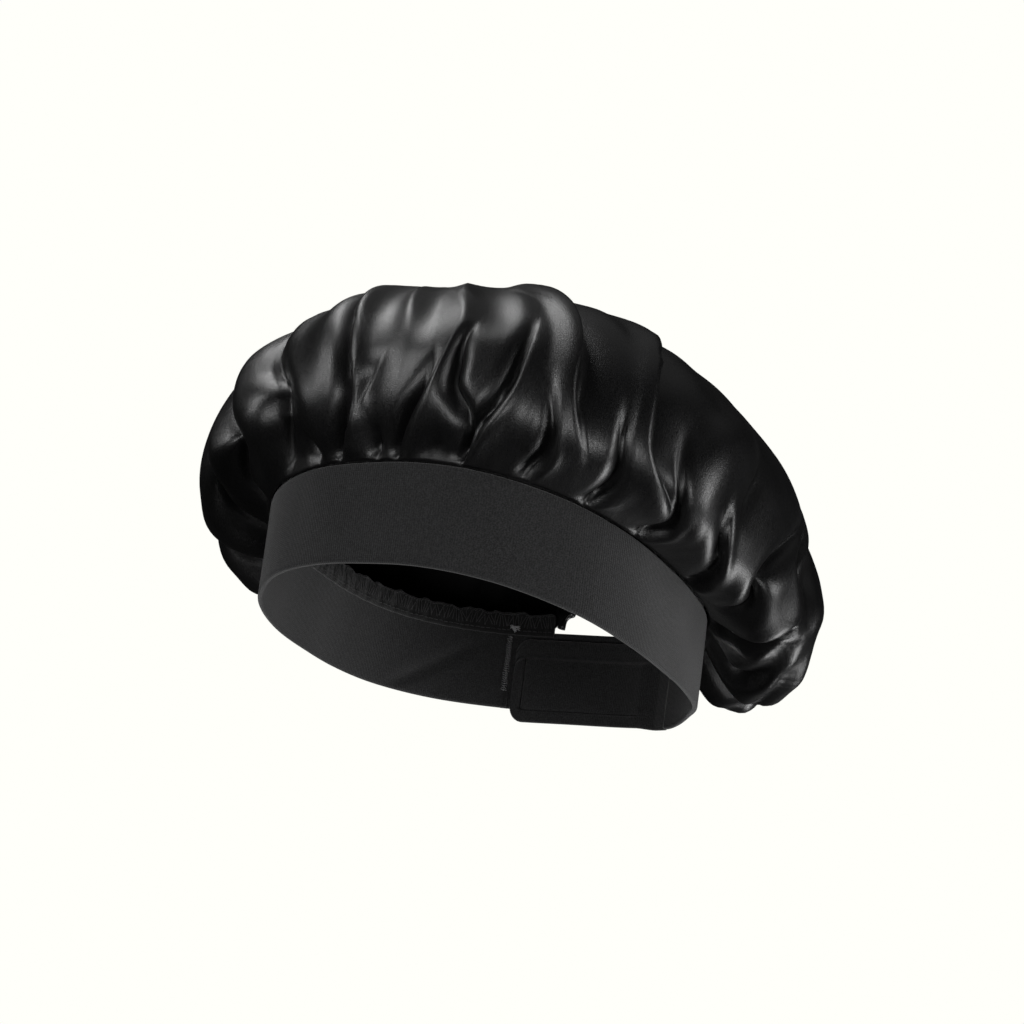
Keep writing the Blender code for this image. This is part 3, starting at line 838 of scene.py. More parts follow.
LARGE_FOLDS = (
    Fold(L, 0.45, 0.4, ((-55, 0.00, 0.9), (-53.5, 0.03, 1.0), (-52, 0.06, 1.0), (-52, 0.11, 0.8),
                        (-53, 0.15, 0.4), (-54, 0.20, 0.0))),
    Fold(S, 0.9, 1.4, ((-45, 0.08, 0.0), (-48, 0.14, 0.5), (-50, 0.20, 0.9), (-50, 0.26, 1.0),
                       (-51, 0.32, 1.0), (-54, 0.40, 1.0), (-58, 0.48, 0.7), (-63, 0.58, 0.3),
                       (-67, 0.70, 0.0))),
    Fold(L, 0.5, 0.4, ((-40.5, 0.00, 0.9), (-38.7, 0.03, 1.0), (-38, 0.07, 1.0), (-39, 0.13, 0.8),
                       (-40, 0.18, 0.4), (-40, 0.24, 0.0))),
    Fold(S, 0.9, 1.4, ((-26, 0.10, 0.3), (-31, 0.13, 0.7), (-35, 0.16, 0.9), (-36, 0.21, 1.0),
                       (-36, 0.27, 1.0), (-35, 0.34, 1.0), (-34, 0.41, 1.0), (-36, 0.52, 0.5),
                       (-39, 0.66, 0.0))),
    Fold(L, 0.5, 0.4, ((-25.5, 0.00, 0.9), (-23.7, 0.03, 1.0), (-23, 0.07, 1.0), (-26, 0.13, 0.8),
                       (-28, 0.18, 0.5), (-28, 0.25, 0.0))),
    Fold(C, 1.1, 1.0, ((-10, 0.42, 0.0), (-15, 0.32, 0.6), (-20, 0.25, 0.7), (-24, 0.19, 0.7),
                       (-24, 0.14, 0.6), (-17, 0.10, 0.0))),
    Fold(V, 0.8, 0.8, ((-5, 0.38, 0.0), (-8, 0.30, 0.4), (-11, 0.24, 0.4), (-13, 0.18, 0.0))),
    Fold(L, 0.5, 0.5, ((1, 0.00, 0.6), (-4, 0.05, 1.0), (-9, 0.09, 1.0), (-14, 0.13, 0.8), (-16, 0.17, 0.4),
                       (-17, 0.22, 0.0))),
)
DRAWN_FOLDS = (
    Fold(V, 0.5, 0.7, ((6, 0.05, 0.0), (4, 0.10, 0.7), (1, 0.13, 1.0), (-2, 0.16, 1.0), (0, 0.21, 1.0),
                       (4, 0.26, 0.8), (8, 0.31, 0.5), (12, 0.37, 0.0))),
    Fold(V, 0.5, 0.4, ((14, 0.20, 0.3), (11, 0.22, 0.8), (9, 0.25, 1.0), (10, 0.29, 0.8),
                       (13, 0.36, 0.0))),
    Fold(V, 0.4, 0.6, ((15, 0.20, 0.3), (15, 0.23, 0.8), (16, 0.27, 1.0), (19, 0.32, 0.9), (24, 0.38, 0.7),
                       (28, 0.45, 0.0))),
    Fold(V, 0.5, 0.4, ((14, 0.19, 0.3), (12, 0.165, 0.8), (15, 0.11, 1.0), (18, 0.075, 0.9),
                       (22, 0.045, 0.8), (30, 0.00, 0.5))),
    Fold(V, 0.6, 0.5, ((14, 0.19, 0.3), (15, 0.155, 0.9), (22, 0.135, 1.0), (29, 0.115, 1.0),
                       (38, 0.09, 0.9), (38, 0.055, 0.6), (35, 0.02, 0.0))),
    Fold(V, 0.6, 0.6, ((15, 0.19, 0.3), (20, 0.185, 0.7), (26, 0.17, 1.0), (36, 0.165, 1.0),
                       (50, 0.165, 0.8), (62, 0.15, 0.0))),
    Fold(V, 0.8, 0.8, ((17, 0.21, 0.2), (24, 0.23, 0.6), (32, 0.24, 0.7), (44, 0.25, 0.0))),
    Fold(V, 0.8, 0.8, ((30, 0.27, 0.0), (29, 0.32, 0.8), (30, 0.40, 0.8), (34, 0.54, 0.0))),
)
BACK_FOLDS = (
    Fold(V, 0.9, 0.9, ((52, 0.00, 0.8), (50, 0.10, 1.0), (48, 0.24, 0.9), (45, 0.42, 0.0))),
    Fold(V, 0.9, 0.9, ((61, 0.00, 0.7), (62, 0.10, 0.9), (60, 0.24, 0.8), (57, 0.38, 0.0))),
    Fold(V, 0.8, 0.8, ((72, 0.00, 0.7), (71, 0.12, 0.9), (70, 0.26, 0.8), (70, 0.46, 0.0))),
    Fold(V, 0.7, 0.7, ((81, 0.00, 0.7), (80, 0.10, 0.8), (81, 0.26, 0.0))),
    Fold(V, 0.9, 0.9, ((89, 0.00, 0.7), (90, 0.12, 0.9), (91, 0.26, 0.8), (90, 0.44, 0.0))),
    Fold(V, 0.7, 0.7, ((97, 0.00, 0.7), (99, 0.12, 0.8), (101, 0.28, 0.0))),
    Fold(V, 1.0, 1.0, ((109, 0.00, 0.7), (111, 0.14, 1.1), (113, 0.28, 1.0), (112, 0.50, 0.0))),
    Fold(V, 0.9, 0.9, ((122, 0.00, 0.7), (125, 0.10, 1.0), (124, 0.22, 0.8), (121, 0.38, 0.0))),
    Fold(V, 1.0, 1.0, ((134, 0.00, 0.7), (137, 0.14, 1.1), (140, 0.28, 1.0), (143, 0.50, 0.0))),
    Fold(V, 0.8, 0.8, ((147, 0.00, 0.7), (150, 0.10, 0.9), (152, 0.26, 0.0))),
    Fold(V, 1.0, 1.0, ((160, 0.00, 0.7), (163, 0.12, 1.1), (162, 0.26, 1.0), (158, 0.46, 0.0))),
    Fold(V, 0.8, 0.8, ((172, 0.00, 0.7), (174, 0.10, 0.9), (175, 0.28, 0.0))),
)
TOP_FOLDS = (
    Fold(D, 1.6, 1.6, ((-88, 0.44, 0.0), (-85, 0.58, 0.6), (-76, 0.78, 0.0))),
    Fold(D, 1.6, 1.6, ((150, 0.46, 0.0), (142, 0.62, 0.6), (130, 0.80, 0.0))),
    Fold(D, 1.6, 1.6, ((-152, 0.44, 0.0), (-158, 0.62, 0.6), (-168, 0.78, 0.0))),
    Fold(D, 1.6, 1.6, ((40, 0.46, 0.0), (34, 0.62, 0.6), (24, 0.78, 0.0))),
    Fold(D, 1.6, 1.6, ((78, 0.44, 0.0), (84, 0.62, 0.6), (94, 0.78, 0.0))),
    Fold(D, 1.6, 1.6, ((-20, 0.50, 0.0), (-14, 0.66, 0.6), (-4, 0.82, 0.0))),
)
FOLDS = SIDE_LOBE_FOLDS + FRONT_FOLDS + LARGE_FOLDS + DRAWN_FOLDS + BACK_FOLDS + TOP_FOLDS


@dataclass
class CrownForm:
    """The crown's gathered surface, over azimuth and the share of the way from band to top."""

    band: BandForm
    closure: ClosurePlan
    rise: float = 0.1060
    puff: float = 0.0400
    sway: float = 0.0120
    setback: float = 0.0080
    wall: float = 0.0012
    fold_depth: float = 0.0075
    fold_reach: float = 0.0140
    fold_edge: float = 0.0016
    fold_softness: float = 0.0006
    sewn_length: float = 0.0030
    swell: tuple[float, float, float, float] = (18.0, 0.20, 0.0085, 0.026)
    groove_depth: float = 0.0030
    groove_width: float = 0.0026
    smoothing: int = 3
    form_smoothing: int = 24
    wave: float = 0.0011
    curve_samples: int = 48
    form_samples: int = 720
    grain_sweep: float = 70.0
    grain_share: float = 0.16
    grain_fade: float = 0.15
    grain_grip: float = 40.0
    grain_tie: float = 0.006
    grain_least: float = 0.4
    grain_pushes: int = 60
    grain_columns: int = 104
    roll_reach: float = 1.3
    roll_fade: float = 0.25
    fold_margin: float = 2.0
    fold_tail: float = 0.2
    drift_bend: float = 1.5
    wave_foot: float = 0.06
    wave_fade: float = 0.6
    wave_pairs: tuple[Table, ...] = (((0.5, 9, 5, 0.4), (1, 4, -6, 1.1)), ((0.4, 16, 4, 2.0), (1, 5, 8, 0)),
                                     ((0.3, 27, -7, 0.7), (1, 7, 11, 1.9)))

    def form_value(self, column: str, azimuth: Grid) -> Grid:
        """A column of the form table, as a smooth closed curve through its rows.

        Args:
            column: the column's name.
            azimuth: degrees round the head.

        Returns:
            The column's value at each azimuth.
        """
        rows = np.array(FORM_ROWS, float)
        known = np.concatenate([rows[-2:, 0] - 360, rows[:, 0], rows[:3, 0] + 360])
        value = rows[:, FORM_COLUMNS.index(column)]
        value = np.concatenate([value[-2:], value, value[:3]])
        azimuth = np.mod(np.asarray(azimuth, float) + 180, 360) - 180
        azimuth = np.where(azimuth < known[2], azimuth + 360, azimuth)
        span = np.clip(np.searchsorted(known, azimuth, side="right") - 1, 1, len(known) - 3)
        slope = [(value[span + k + 1] - value[span + k - 1]) / (known[span + k + 1] - known[span + k - 1])
                 for k in (0, 1)]
        width = known[span + 1] - known[span]
        part = (azimuth - known[span]) / width
        return (value[span] * (1 + 2 * part) * (1 - part) ** 2 + slope[0] * width * part * (1 - part) ** 2
                + value[span + 1] * part**2 * (3 - 2 * part) - slope[1] * width * part**2 * (1 - part))

    def edge(self, azimuth: Grid) -> Grid:
        """The sewn edge: on the band's top, and over the hem's roll behind.

        Args:
            azimuth: degrees round the head.

        Returns:
            The edge's points.
        """
        plan = self.closure
        off = np.abs(around(azimuth, plan.azimuth))
        near = soft_step((self.roll_reach - off / plan.gap_spread) / self.roll_fade)
        edge = self.band.point(azimuth, 1.0)
        roll = (2 * plan.hem_radius + self.band.clearance + self.wall / 2) * near
        edge[..., 2] += self.band.clearance + roll + plan.arch(azimuth)
        return edge

    def profile(self, azimuths: Grid, shares: Grid) -> tuple[Grid, Grid]:
        """The plain form, before its folds.

        Args:
            azimuths: degrees round the head, one for each profile.
            shares: how far up each point of a profile is, from 0 to 1.

        Returns:
            Its points, a row for each share, and the length of each profile.
        """
        edge = self.edge(azimuths)
        reach = np.hypot(edge[:, 0], edge[:, 1])
        out_x = edge[:, 0] / reach
        out_y = edge[:, 1] / reach
        column = {name: self.form_value(name, azimuths) for name in FORM_COLUMNS[1:]}
        side = reach + column["out"] * self.puff
        wide = self.band.point(azimuths, 1.0)[:, 2] + column["wide"] * self.rise
        top = self.band.height + self.rise
        lip = column["lip"] * self.puff
        slope = np.radians(column["slope"])
        step = np.linspace(0, 1, self.curve_samples)[:, None]

        def bend(a: Grid, b: Grid, c: Grid, d: Grid) -> Grid:
            """A cubic curve between a and d."""
            return ((1 - step) ** 3 * a + 3 * step * (1 - step) ** 2 * b + 3 * step**2 * (1 - step) * c
                    + step**3 * d)

        low_r = bend(reach, reach + lip * np.cos(slope), side, side)
        low_z = bend(edge[:, 2], edge[:, 2] + lip * np.sin(slope), wide - column["low"] * self.rise, wide)
        high_r = bend(side, side, column["flat"] * self.rise, 0 * side)
        high_z = bend(wide, wide + column["rise"] * self.rise, 0 * side + top, 0 * side + top)
        r = np.concatenate([low_r, high_r[1:]])
        z = np.concatenate([low_z, high_z[1:]])
        drift = np.concatenate([0 * step, step[1:] ** self.drift_bend])
        curve = np.stack([r * out_x - drift * self.sway, r * out_y + drift * self.setback, z], -1)
        run = np.linalg.norm(np.diff(curve, axis=0), axis=2)
        run = np.concatenate([np.zeros((1, len(azimuths))), np.cumsum(run, 0)])
        points = np.empty((len(shares), len(azimuths), 3))
        for number, length in enumerate(run[-1]):
            for axis in range(3):
                points[:, number, axis] = np.interp(shares * length, run[:, number], curve[:, number, axis])
        return self.smoothed(points, self.form_smoothing), run[-1]

    @staticmethod
    def smoothed(points: Grid, passes: int) -> Grid:
        """Points with each column softened between its two ends."""
        for _ in range(passes):
            points[1:-1] = 0.5 * points[1:-1] + 0.25 * (points[:-2] + points[2:])
        return points

    def grain(self, columns: int, shares: Grid) -> Grid:
        """Azimuth of each column of the mesh at each share, drawn along the folds.

        Args:
            columns: how many columns the mesh has.
            shares: the share of each of its rows.

        Returns:
            An azimuth for each row and column.
        """
        home = np.arange(columns) * 360 / columns - 180
        ring = np.eye(columns)
        pull = columns / self.grain_columns
        springs = (2 + self.grain_tie / pull**2) * ring - np.roll(ring, 1, 0) - np.roll(ring, -1, 0)
        paths = [smooth_line(fold.line, self.curve_samples) for fold in FOLDS]
        paths = [path for path in paths if np.ptp(path[:, 0]) < self.grain_sweep * np.ptp(path[:, 1])]
        held = [np.abs(around(home, np.interp(self.grain_share, path[:, 1], path[:, 0]))).argmin()
                for path in paths]
        azimuth = np.empty((len(shares), columns))
        for row, share in enumerate(shares):
            matrix = springs.copy()
            force = np.zeros(columns)
            for path, column in zip(paths, held):
                start = soft_step((share - path[0, 1]) / self.grain_fade + 1)
                end = soft_step((path[-1, 1] - share) / self.grain_fade + 1)
                grip = self.grain_grip * (start * end) ** 4 / pull
                matrix[column, column] += grip
                force[column] += grip * around(np.interp(share, path[:, 1], path[:, 0]), home[column])
            place = home + np.linalg.solve(matrix, force)
            for _ in range(self.grain_pushes):
                gap = np.roll(place, -1) - place
                gap[-1] += 360
                push = np.maximum(self.grain_least * 360 / columns - gap, 0) / 2
                place += np.roll(push, 1) - push
            azimuth[row] = place
        return azimuth

    def fold_heights(self, azimuth: Grid, shares: Grid, points: Grid, lengths: Grid) -> Grid:
        """Height of the folds over the plain form.

        Args:
            azimuth: degrees round the head, for each point.
            shares: the share of each row.
            points: the plain form's points.
            lengths: the length of the profile at each point.

        Returns:
            Metres outwards, for each point.
        """
        girth = np.hypot(points[..., 0], points[..., 1])
        share = np.broadcast_to(shares[:, None], girth.shape)
        low = np.zeros(girth.shape)
        high = np.zeros(girth.shape)
        for fold in FOLDS:
            path = smooth_line(fold.line, self.curve_samples)
            tangent = np.gradient(path, axis=0)
            reach = np.degrees(max(fold.left_reach, fold.right_reach) * self.fold_reach
                               / np.maximum(girth, self.fold_edge))
            half = np.ptp(path[:, 0]) / 2 + reach + self.fold_margin
            near = np.abs(around(azimuth, path[:, 0].mean())) < half
            near &= share < path[:, 1].max() + self.fold_tail
            r = girth[near][:, None]
            tall = lengths[near][:, None]
            across = np.radians(around(azimuth[near][:, None], path[:, 0])) * r
            up = (share[near][:, None] - path[:, 1]) * tall
            distance = np.hypot(across, up)
            best = distance.argmin(1)[:, None]
            side = across * tangent[:, 1] * tall - up * np.radians(tangent[:, 0]) * r
            distance = np.take_along_axis(distance, best, 1)[:, 0]
            side = np.sign(np.take_along_axis(side, best, 1)[:, 0])
            strength = np.clip(path[best[:, 0], 2], 0, None)
            edge = soft_step(0.5 + distance * side / self.fold_edge)
            soft = np.hypot(distance, self.fold_softness) - self.fold_softness
            left, right = (self.side_height(fold.side, soft, height, reach * self.fold_reach)
                           for height, reach in zip(fold.side.value, (fold.left_reach, fold.right_reach)))
            height = strength * self.fold_depth * (left * (1 - edge) + right * edge)
            if fold.side in (Side.VALLEY, Side.LAP):
                height -= strength * self.groove_depth * np.clip(1 - distance / self.groove_width, 0, 1)
            low[near] = np.minimum(low[near], height)
            high[near] = np.maximum(high[near], height)
        total = low + high
        centre, level, rise, reach = self.swell
        across = np.radians(around(azimuth, centre)) * girth
        up = (share - level) * lengths
        total += rise * np.exp(-(across**2 + up**2) / reach**2)
        sewn = soft_step(share * lengths / self.sewn_length)
        pole = soft_step((1 - share) * lengths / (2 * self.fold_reach))
        return total * sewn * pole

    @staticmethod
    def side_height(side: Side, distance: Grid, height: float, reach: float) -> Grid:
        """Height of one side of a fold's line: a round crest or dip, or a sharp valley.

        Args:
            side: how the fold's sides stand.
            distance: metres from its line.
            height: the side's height at the line.
            reach: metres that the side goes out.

        Returns:
            The height at each distance.
        """
        part = np.clip(distance / reach, 0, 1)
        if height > 0 or side is Side.DIP:
            return height * (1 - part**2) ** 2
        return height * (1 - part) ** 2

    @staticmethod
    def normals(points: Grid) -> Grid:
        """Outward unit normals of a closed ring of columns that ends in a pole.

        Args:
            points: a row for each share and a column for each azimuth.

        Returns:
            A normal for each point.
        """
        across = np.roll(points, -1, 1) - np.roll(points, 1, 1)
        normal = np.cross(across, np.gradient(points, axis=0))
        normal[-1] = (0, 0, 1)
        return normal / np.maximum(np.linalg.norm(normal, axis=2, keepdims=True), 1e-9)

    def surface(self, columns: int, shares: Grid) -> tuple[Grid, Grid, Grid]:
        """The folded surface.

        Args:
            columns: how many columns the mesh has.
            shares: the share of each of its rows.

        Returns:
            Its points, the azimuth of each, and the length of each profile.
        """
        ring = np.arange(self.form_samples) * 360 / self.form_samples - 180
        profile, length = self.profile(ring, shares)
        azimuth = self.grain(columns, shares)
        form = np.empty((*azimuth.shape, 3))
        for row in range(len(shares)):
            for axis in range(3):
                form[row, :, axis] = np.interp(azimuth[row], ring, profile[row, :, axis], period=360)
        lengths = np.interp(azimuth, ring, length, period=360)
        heights = self.fold_heights(azimuth, shares, form, lengths) + self.waves(azimuth, shares)
        points = form + self.normals(form) * heights[..., None]
        return self.smoothed(points, self.smoothing), azimuth, lengths

    def waves(self, azimuth: Grid, shares: Grid) -> Grid:
        """Slow uneven swells of the loose cloth, from a few crossing waves.

        Args:
            azimuth: degrees round the head, for each point.
            shares: the share of each row.

        Returns:
            Metres outwards, for each point.
        """
        turn = np.radians(azimuth)
        share = np.broadcast_to(shares[:, None], turn.shape)
        swell = sum(wave_sum(turn, share, pair[:1]) * wave_sum(turn, share, pair[1:])
                    for pair in self.wave_pairs)
        fade = soft_step((1 - share) / self.wave_fade) ** 2
        return self.wave * swell * soft_step(share / self.wave_foot) * fade


@dataclass
class Crown:
    """The satin crown as one sheet with a thin wall."""

    form: CrownForm
    columns: int = 480
    rows: int = 98
    wall: float = 0.0005
    row_bias: float = 1.2
    map_radius: float = 0.11

    def build(self, satin: bpy.types.Material, reverse: bpy.types.Material) -> bpy.types.Object:
        """Make the crown and dress it.

        Args:
            satin: the outer finish.
            reverse: the satin's dull reverse, for the inside.

        Returns:
            The crown.
        """
        columns, rows = self.columns, self.rows
        shares = np.linspace(0, 1, rows + 1) ** self.row_bias
        points, azimuth, lengths = self.form.surface(columns, shares)
        faces, corner = Mesher.grid_faces(rows, columns, True, False)
        flat = np.vstack([points[:-1].reshape(-1, 3), points[-1].mean(0)])
        turns = np.concatenate([azimuth, azimuth[:, :1] + 360], 1)
        tall = np.concatenate([lengths, lengths[:, :1]], 1)
        flat_map = np.stack([np.radians(turns) * self.map_radius, shares[:, None] * tall], -1)
        ring = np.arange(columns)
        last = (rows - 1) * columns + ring
        cap = np.stack([last, np.roll(last, -1), np.full(columns, len(flat) - 1)], -1)
        cap_map = np.stack([flat_map[-2, ring], flat_map[-2, ring + 1], flat_map[-1, ring]], 1)
        uv = np.vstack([flat_map[corner[..., 0], corner[..., 1]].reshape(-1, 2), cap_map.reshape(-1, 2)])
        crown = Mesher.make("crown_satin", flat, faces.tolist() + cap.tolist(), uv, satin, reverse)
        solid = crown.modifiers.new("wall", "SOLIDIFY")
        solid.thickness = self.wall
        solid.offset = -1
        solid.material_offset = 1
        return crown


@dataclass
class HeadBand:
    """The doubled knitted band, with a folded rim and a few soft dents."""

    form: BandForm
    closure: ClosurePlan
    columns: int = 460
    face_steps: int = 22
    edge_steps: int = 7
    ripple: float = 0.00035
    ripples: Table = ((0.5, 9, 0, 1.0), (0.3, 17, 2.2, 0), (0.4, 5, -3.0, 0))
    dent: float = 0.0014
    dent_azimuth: float = 148.0
    dent_slant: float = 34.0
    dent_width: float = 3.2
    dent_foot: float = 0.15
    dent_top: float = 0.95
    dent_fade: float = 0.25
    drop_spread: float = 16.0

    def dents(self, azimuth: Grid, level: Grid) -> Grid:
        """How far the cloth is pushed outwards.

        Args:
            azimuth: degrees round the head.
            level: 0 at the rim and 1 at the top edge.

        Returns:
            Metres at each place: slow ripples, and one slanting crease.
        """
        slant = around(azimuth, self.dent_azimuth - self.dent_slant * level)
        inside = soft_step(level / self.dent_foot) * soft_step((self.dent_top - level) / self.dent_fade)
        crease = self.dent * bell(slant, 0.0, self.dent_width) * inside
        return self.ripple * wave_sum(np.radians(azimuth), level, self.ripples) + crease

    def build(self, knit: bpy.types.Material) -> bpy.types.Object:
        """Make the band and dress it.

        Args:
            knit: its finish.

        Returns:
            The band.
        """
        section = strip_section(0.0, 1.0, self.form.wall, self.form.height, 0.0, self.face_steps,
                                self.edge_steps)
        azimuths = np.linspace(*self.closure.band_ends, self.columns)

        def place(azimuth: Grid, level: Grid, depth: Grid) -> Grid:
            """The band's points, dented, with the rim drawn down to the tab's at its right end."""
            points = self.form.point(azimuth, level, depth - self.dents(azimuth, level))
            down = soft_step(1 - (azimuths[-1] - azimuth) / self.drop_spread)
            points[..., 2] -= self.closure.tab_drop * (1 - level) * down
            return points

        return Mesher.strip("band_knit", section, azimuths, place, knit)


@dataclass
class InnerSeam:
    """The overlocked seam allowance inside the band's top, with its threads.

    Each row of threads has its name, metres above the band's top edge, metres over the ridge's
    inner face, and its stitch.
    """

    form: BandForm
    closure: ClosurePlan
    height: float = 0.0105
    foot: float = 0.0030
    wall: float = 0.0026
    columns: int = 420
    face_steps: int = 8
    edge_steps: int = 7
    edge_waves: Table = ((0.0004, 47, 0, 0), (0.0003, 83, 0, 1), (0.0003, 29, 0, 2))
    face_waves: Table = ((0.00022, 61, 9, 0), (0.00018, 127, 0, 0))
    uneven_part: float = 0.2
    thread_inset: float = 1.0
    path_points: int = 900
    rows: tuple[tuple[str, float, float, Stitch], ...] = (
        ("overlock_ladder", 0.00325, 0.0001, Stitch(0.0013, 0.0060, 0.0005, 0.00016, math.pi / 2, 0.40, 3)),
        ("overlock_chain", 0.0063, -0.0004, Stitch(0.0015, 0.0017, 0.0005, 0.00020, 0.30, 0.6, 5)),
        ("needle_line", -0.0012, 0.00005, Stitch(0.0026, 0.0019, 0.00025, 0.00016, 0.0, 0.1, 8)))

    def ends(self) -> tuple[float, float]:
        """Azimuths of the ridge's two ends."""
        past_hem = self.form.degrees(self.closure.hem_radius + self.form.end_clearance)
        spread = self.closure.gap_spread + past_hem
        return self.closure.azimuth + spread - 360, self.closure.azimuth - spread

    def place(self, azimuth: Grid, level: Grid, depth: Grid) -> Grid:
        """The ridge's points, with an uneven upper edge.

        Args:
            azimuth: degrees round the head.
            level: 1 at the band's top edge.
            depth: metres inside the band's outer face.

        Returns:
            The points.
        """
        turn = np.radians(azimuth)
        near_edge = soft_step((level - 1.0) * self.form.height / self.height + self.uneven_part)
        uneven = wave_sum(turn, level, self.edge_waves) * near_edge / self.form.height
        return self.form.point(azimuth, level + uneven, depth + wave_sum(turn, level, self.face_waves))

    def build(self, knit: bpy.types.Material) -> bpy.types.Object:
        """Make the ridge and dress it.

        Args:
            knit: its finish.

        Returns:
            The ridge.
        """
        low = 1 - self.foot / self.form.height
        section = strip_section(low, low + self.height / self.form.height, self.wall, self.form.height,
                                self.form.wall + self.form.clearance, self.face_steps, self.edge_steps)
        azimuths = np.linspace(*self.ends(), self.columns)
        return Mesher.strip("seam_ridge", section, azimuths, self.place, knit)

    def build_threads(self, stitches: StitchRow, thread: bpy.types.Material) -> list[bpy.types.Object]:
        """Lay the ladder of overlock threads, the chain on the ridge's edge and the needle line.

        Args:
            stitches: what lays them.
            thread: their finish.

        Returns:
            The three rows.
        """
        start, end = self.ends()
        azimuths = np.linspace(start + self.thread_inset, end - self.thread_inset, self.path_points)
        inner = self.form.wall + self.form.clearance + self.wall
        made = []
        for name, lift, over, stitch in self.rows:
            level = np.full_like(azimuths, 1 + lift / self.form.height)
            path = self.place(azimuths, level, inner + over + 0 * azimuths)
            made.append(stitches.lay(name, [(path, -outward(azimuths))], stitch, thread))
        return made


@dataclass
class BackClosure:
    """The outer strap, the stitched inner tab, and the sewing that holds them."""

    form: BandForm
    plan: ClosurePlan
    strap_columns: int = 90
    tab_columns: int = 150
    tab_bias: float = 1.3
    tab_face_steps: int = 64
    sink: float = 0.6
    roll_depth: float = 0.0019
    roll_level: float = 0.81
    roll_rise: float = 0.0010
    crest_level: float = 0.93
    roll_width: float = 0.050
    seam_depth: float = 0.0013
    seam_width: float = 0.014
    end_seam_width: float = 0.0006
    thread_lift: float = 0.0001
    stitch_start: float = 11.0
    tack_inset: float = 0.0016
    tack_lines: tuple[float, float] = (0.0, 0.0011)
    tack_levels: tuple[float, float] = (0.22, 0.90)
    seam_points: int = 60
    tack_points: int = 40
    knot_lift: float = 0.0032
    knot_azimuths: tuple[float, float] = (-1.9, -0.1)
    knot_level: float = 0.99
    knot_sway: float = 0.020
    knot_turns: float = 9.0
    knot_points: int = 12
    top_stitch: Stitch = Stitch(0.0022, 0.0019, 0.00022, 0.00020, 0.0, 0.12, 11)
    bar_stitch: Stitch = Stitch(0.0010, 0.0017, 0.00030, 0.00013, 1.1, 0.45, 13)
    knot_stitch: Stitch = Stitch(0.0003, 0.0026, 0.0007, 0.00022, 0.8, 1.5, 17)

    def build_strap(self, knit: bpy.types.Material) -> bpy.types.Object:
        """Make the thin outer strap."""
        section = strip_section(0.0, 1.0, self.plan.strap_wall, self.form.height)
        azimuths = np.linspace(*self.plan.strap_ends, self.strap_columns)
        return Mesher.strip("strap_knit", section, azimuths, self.form.point, knit)

    def tab_place(self, azimuth: Grid, level: Grid, depth: Grid) -> Grid:
        """The tab's points: it sinks, passes inside the strap, and ends in round corners.

        Args:
            azimuth: degrees round the head.
            level: 0 at the tab's lower edge and 1 at its upper edge.
            depth: metres inside the tab's outer face.

        Returns:
            The points.
        """
        plan = self.plan
        sewn, free = plan.tab_ends
        from_end = np.radians(free - azimuth) * self.form.half_length
        from_band = np.radians(azimuth - sewn) * self.form.half_length
        sunk = soft_step(from_band / (self.sink * plan.tab_bend))
        inside = soft_step((from_band / plan.tab_bend - (1 - self.sink)) / self.sink)
        corner = np.clip(1 - from_end / plan.tab_corner, 0, 1)
        rounding = plan.tab_corner * (1 - np.sqrt(1 - corner**2))
        tilt = plan.tab_tilt * (azimuth - sewn) / (free - sewn)
        low = (rounding - plan.tab_drop - tilt) / self.form.height
        high = 1 - (rounding + plan.tab_drop * sunk) / self.form.height
        roll = bell(level, self.roll_level, self.roll_width) * self.roll_depth * inside
        crest = bell(level, self.crest_level, self.roll_width) * self.roll_rise * inside
        bottom, top = plan.stitch_levels
        lower_seam = bell(level, bottom, self.seam_width) * (from_end > plan.stitch_inset)
        end_seam = bell(from_end, plan.stitch_inset, self.end_seam_width) * (level > bottom) * (level < top)
        seam = self.seam_depth * np.maximum(lower_seam, end_seam) * inside
        shift = np.where(depth > plan.tab_wall / 2, crest - roll - seam, 0.0)
        return self.form.point(azimuth, low + (high - low) * level, depth + shift + plan.tab_depth * inside)

    def build_tab(self, knit: bpy.types.Material) -> bpy.types.Object:
        """Make the inner tab with its rolled upper edge.

        Args:
            knit: its finish.

        Returns:
            The tab.
        """
        section = strip_section(0.0, 1.0, self.plan.tab_wall, self.form.height,
                                face_steps=self.tab_face_steps)
        sewn, free = self.plan.tab_ends
        share = 1 - (1 - np.linspace(0, 1, self.tab_columns)) ** self.tab_bias
        return Mesher.strip("tab_knit", section, sewn + (free - sewn) * share, self.tab_place, knit)

    def build_sewing(self, stitches: StitchRow, dark: bpy.types.Material,
                     grey: bpy.types.Material) -> list[bpy.types.Object]:
        """Lay the tab's top stitching, the bar tack at the band's end, and the knot of thread.

        Args:
            stitches: what lays them.
            dark: the top stitching's finish.
            grey: the finish of the tack and the knot.

        Returns:
            The three pieces of sewing.
        """
        def on_tab(azimuth: Grid, level: Grid) -> Run:
            """Points on the tab's inner face, and the way that it faces."""
            azimuth, level = np.broadcast_arrays(azimuth, level)
            depth = self.plan.tab_wall + self.thread_lift + 0 * azimuth
            return self.tab_place(azimuth, level, depth), -outward(azimuth)

        def on_band(azimuth: Grid, level: Grid, lift: float) -> Run:
            """Points over the band's inner face, and the way that it faces."""
            azimuth, level = np.broadcast_arrays(azimuth, level)
            return self.form.point(azimuth, level, self.form.wall + lift), -outward(azimuth)

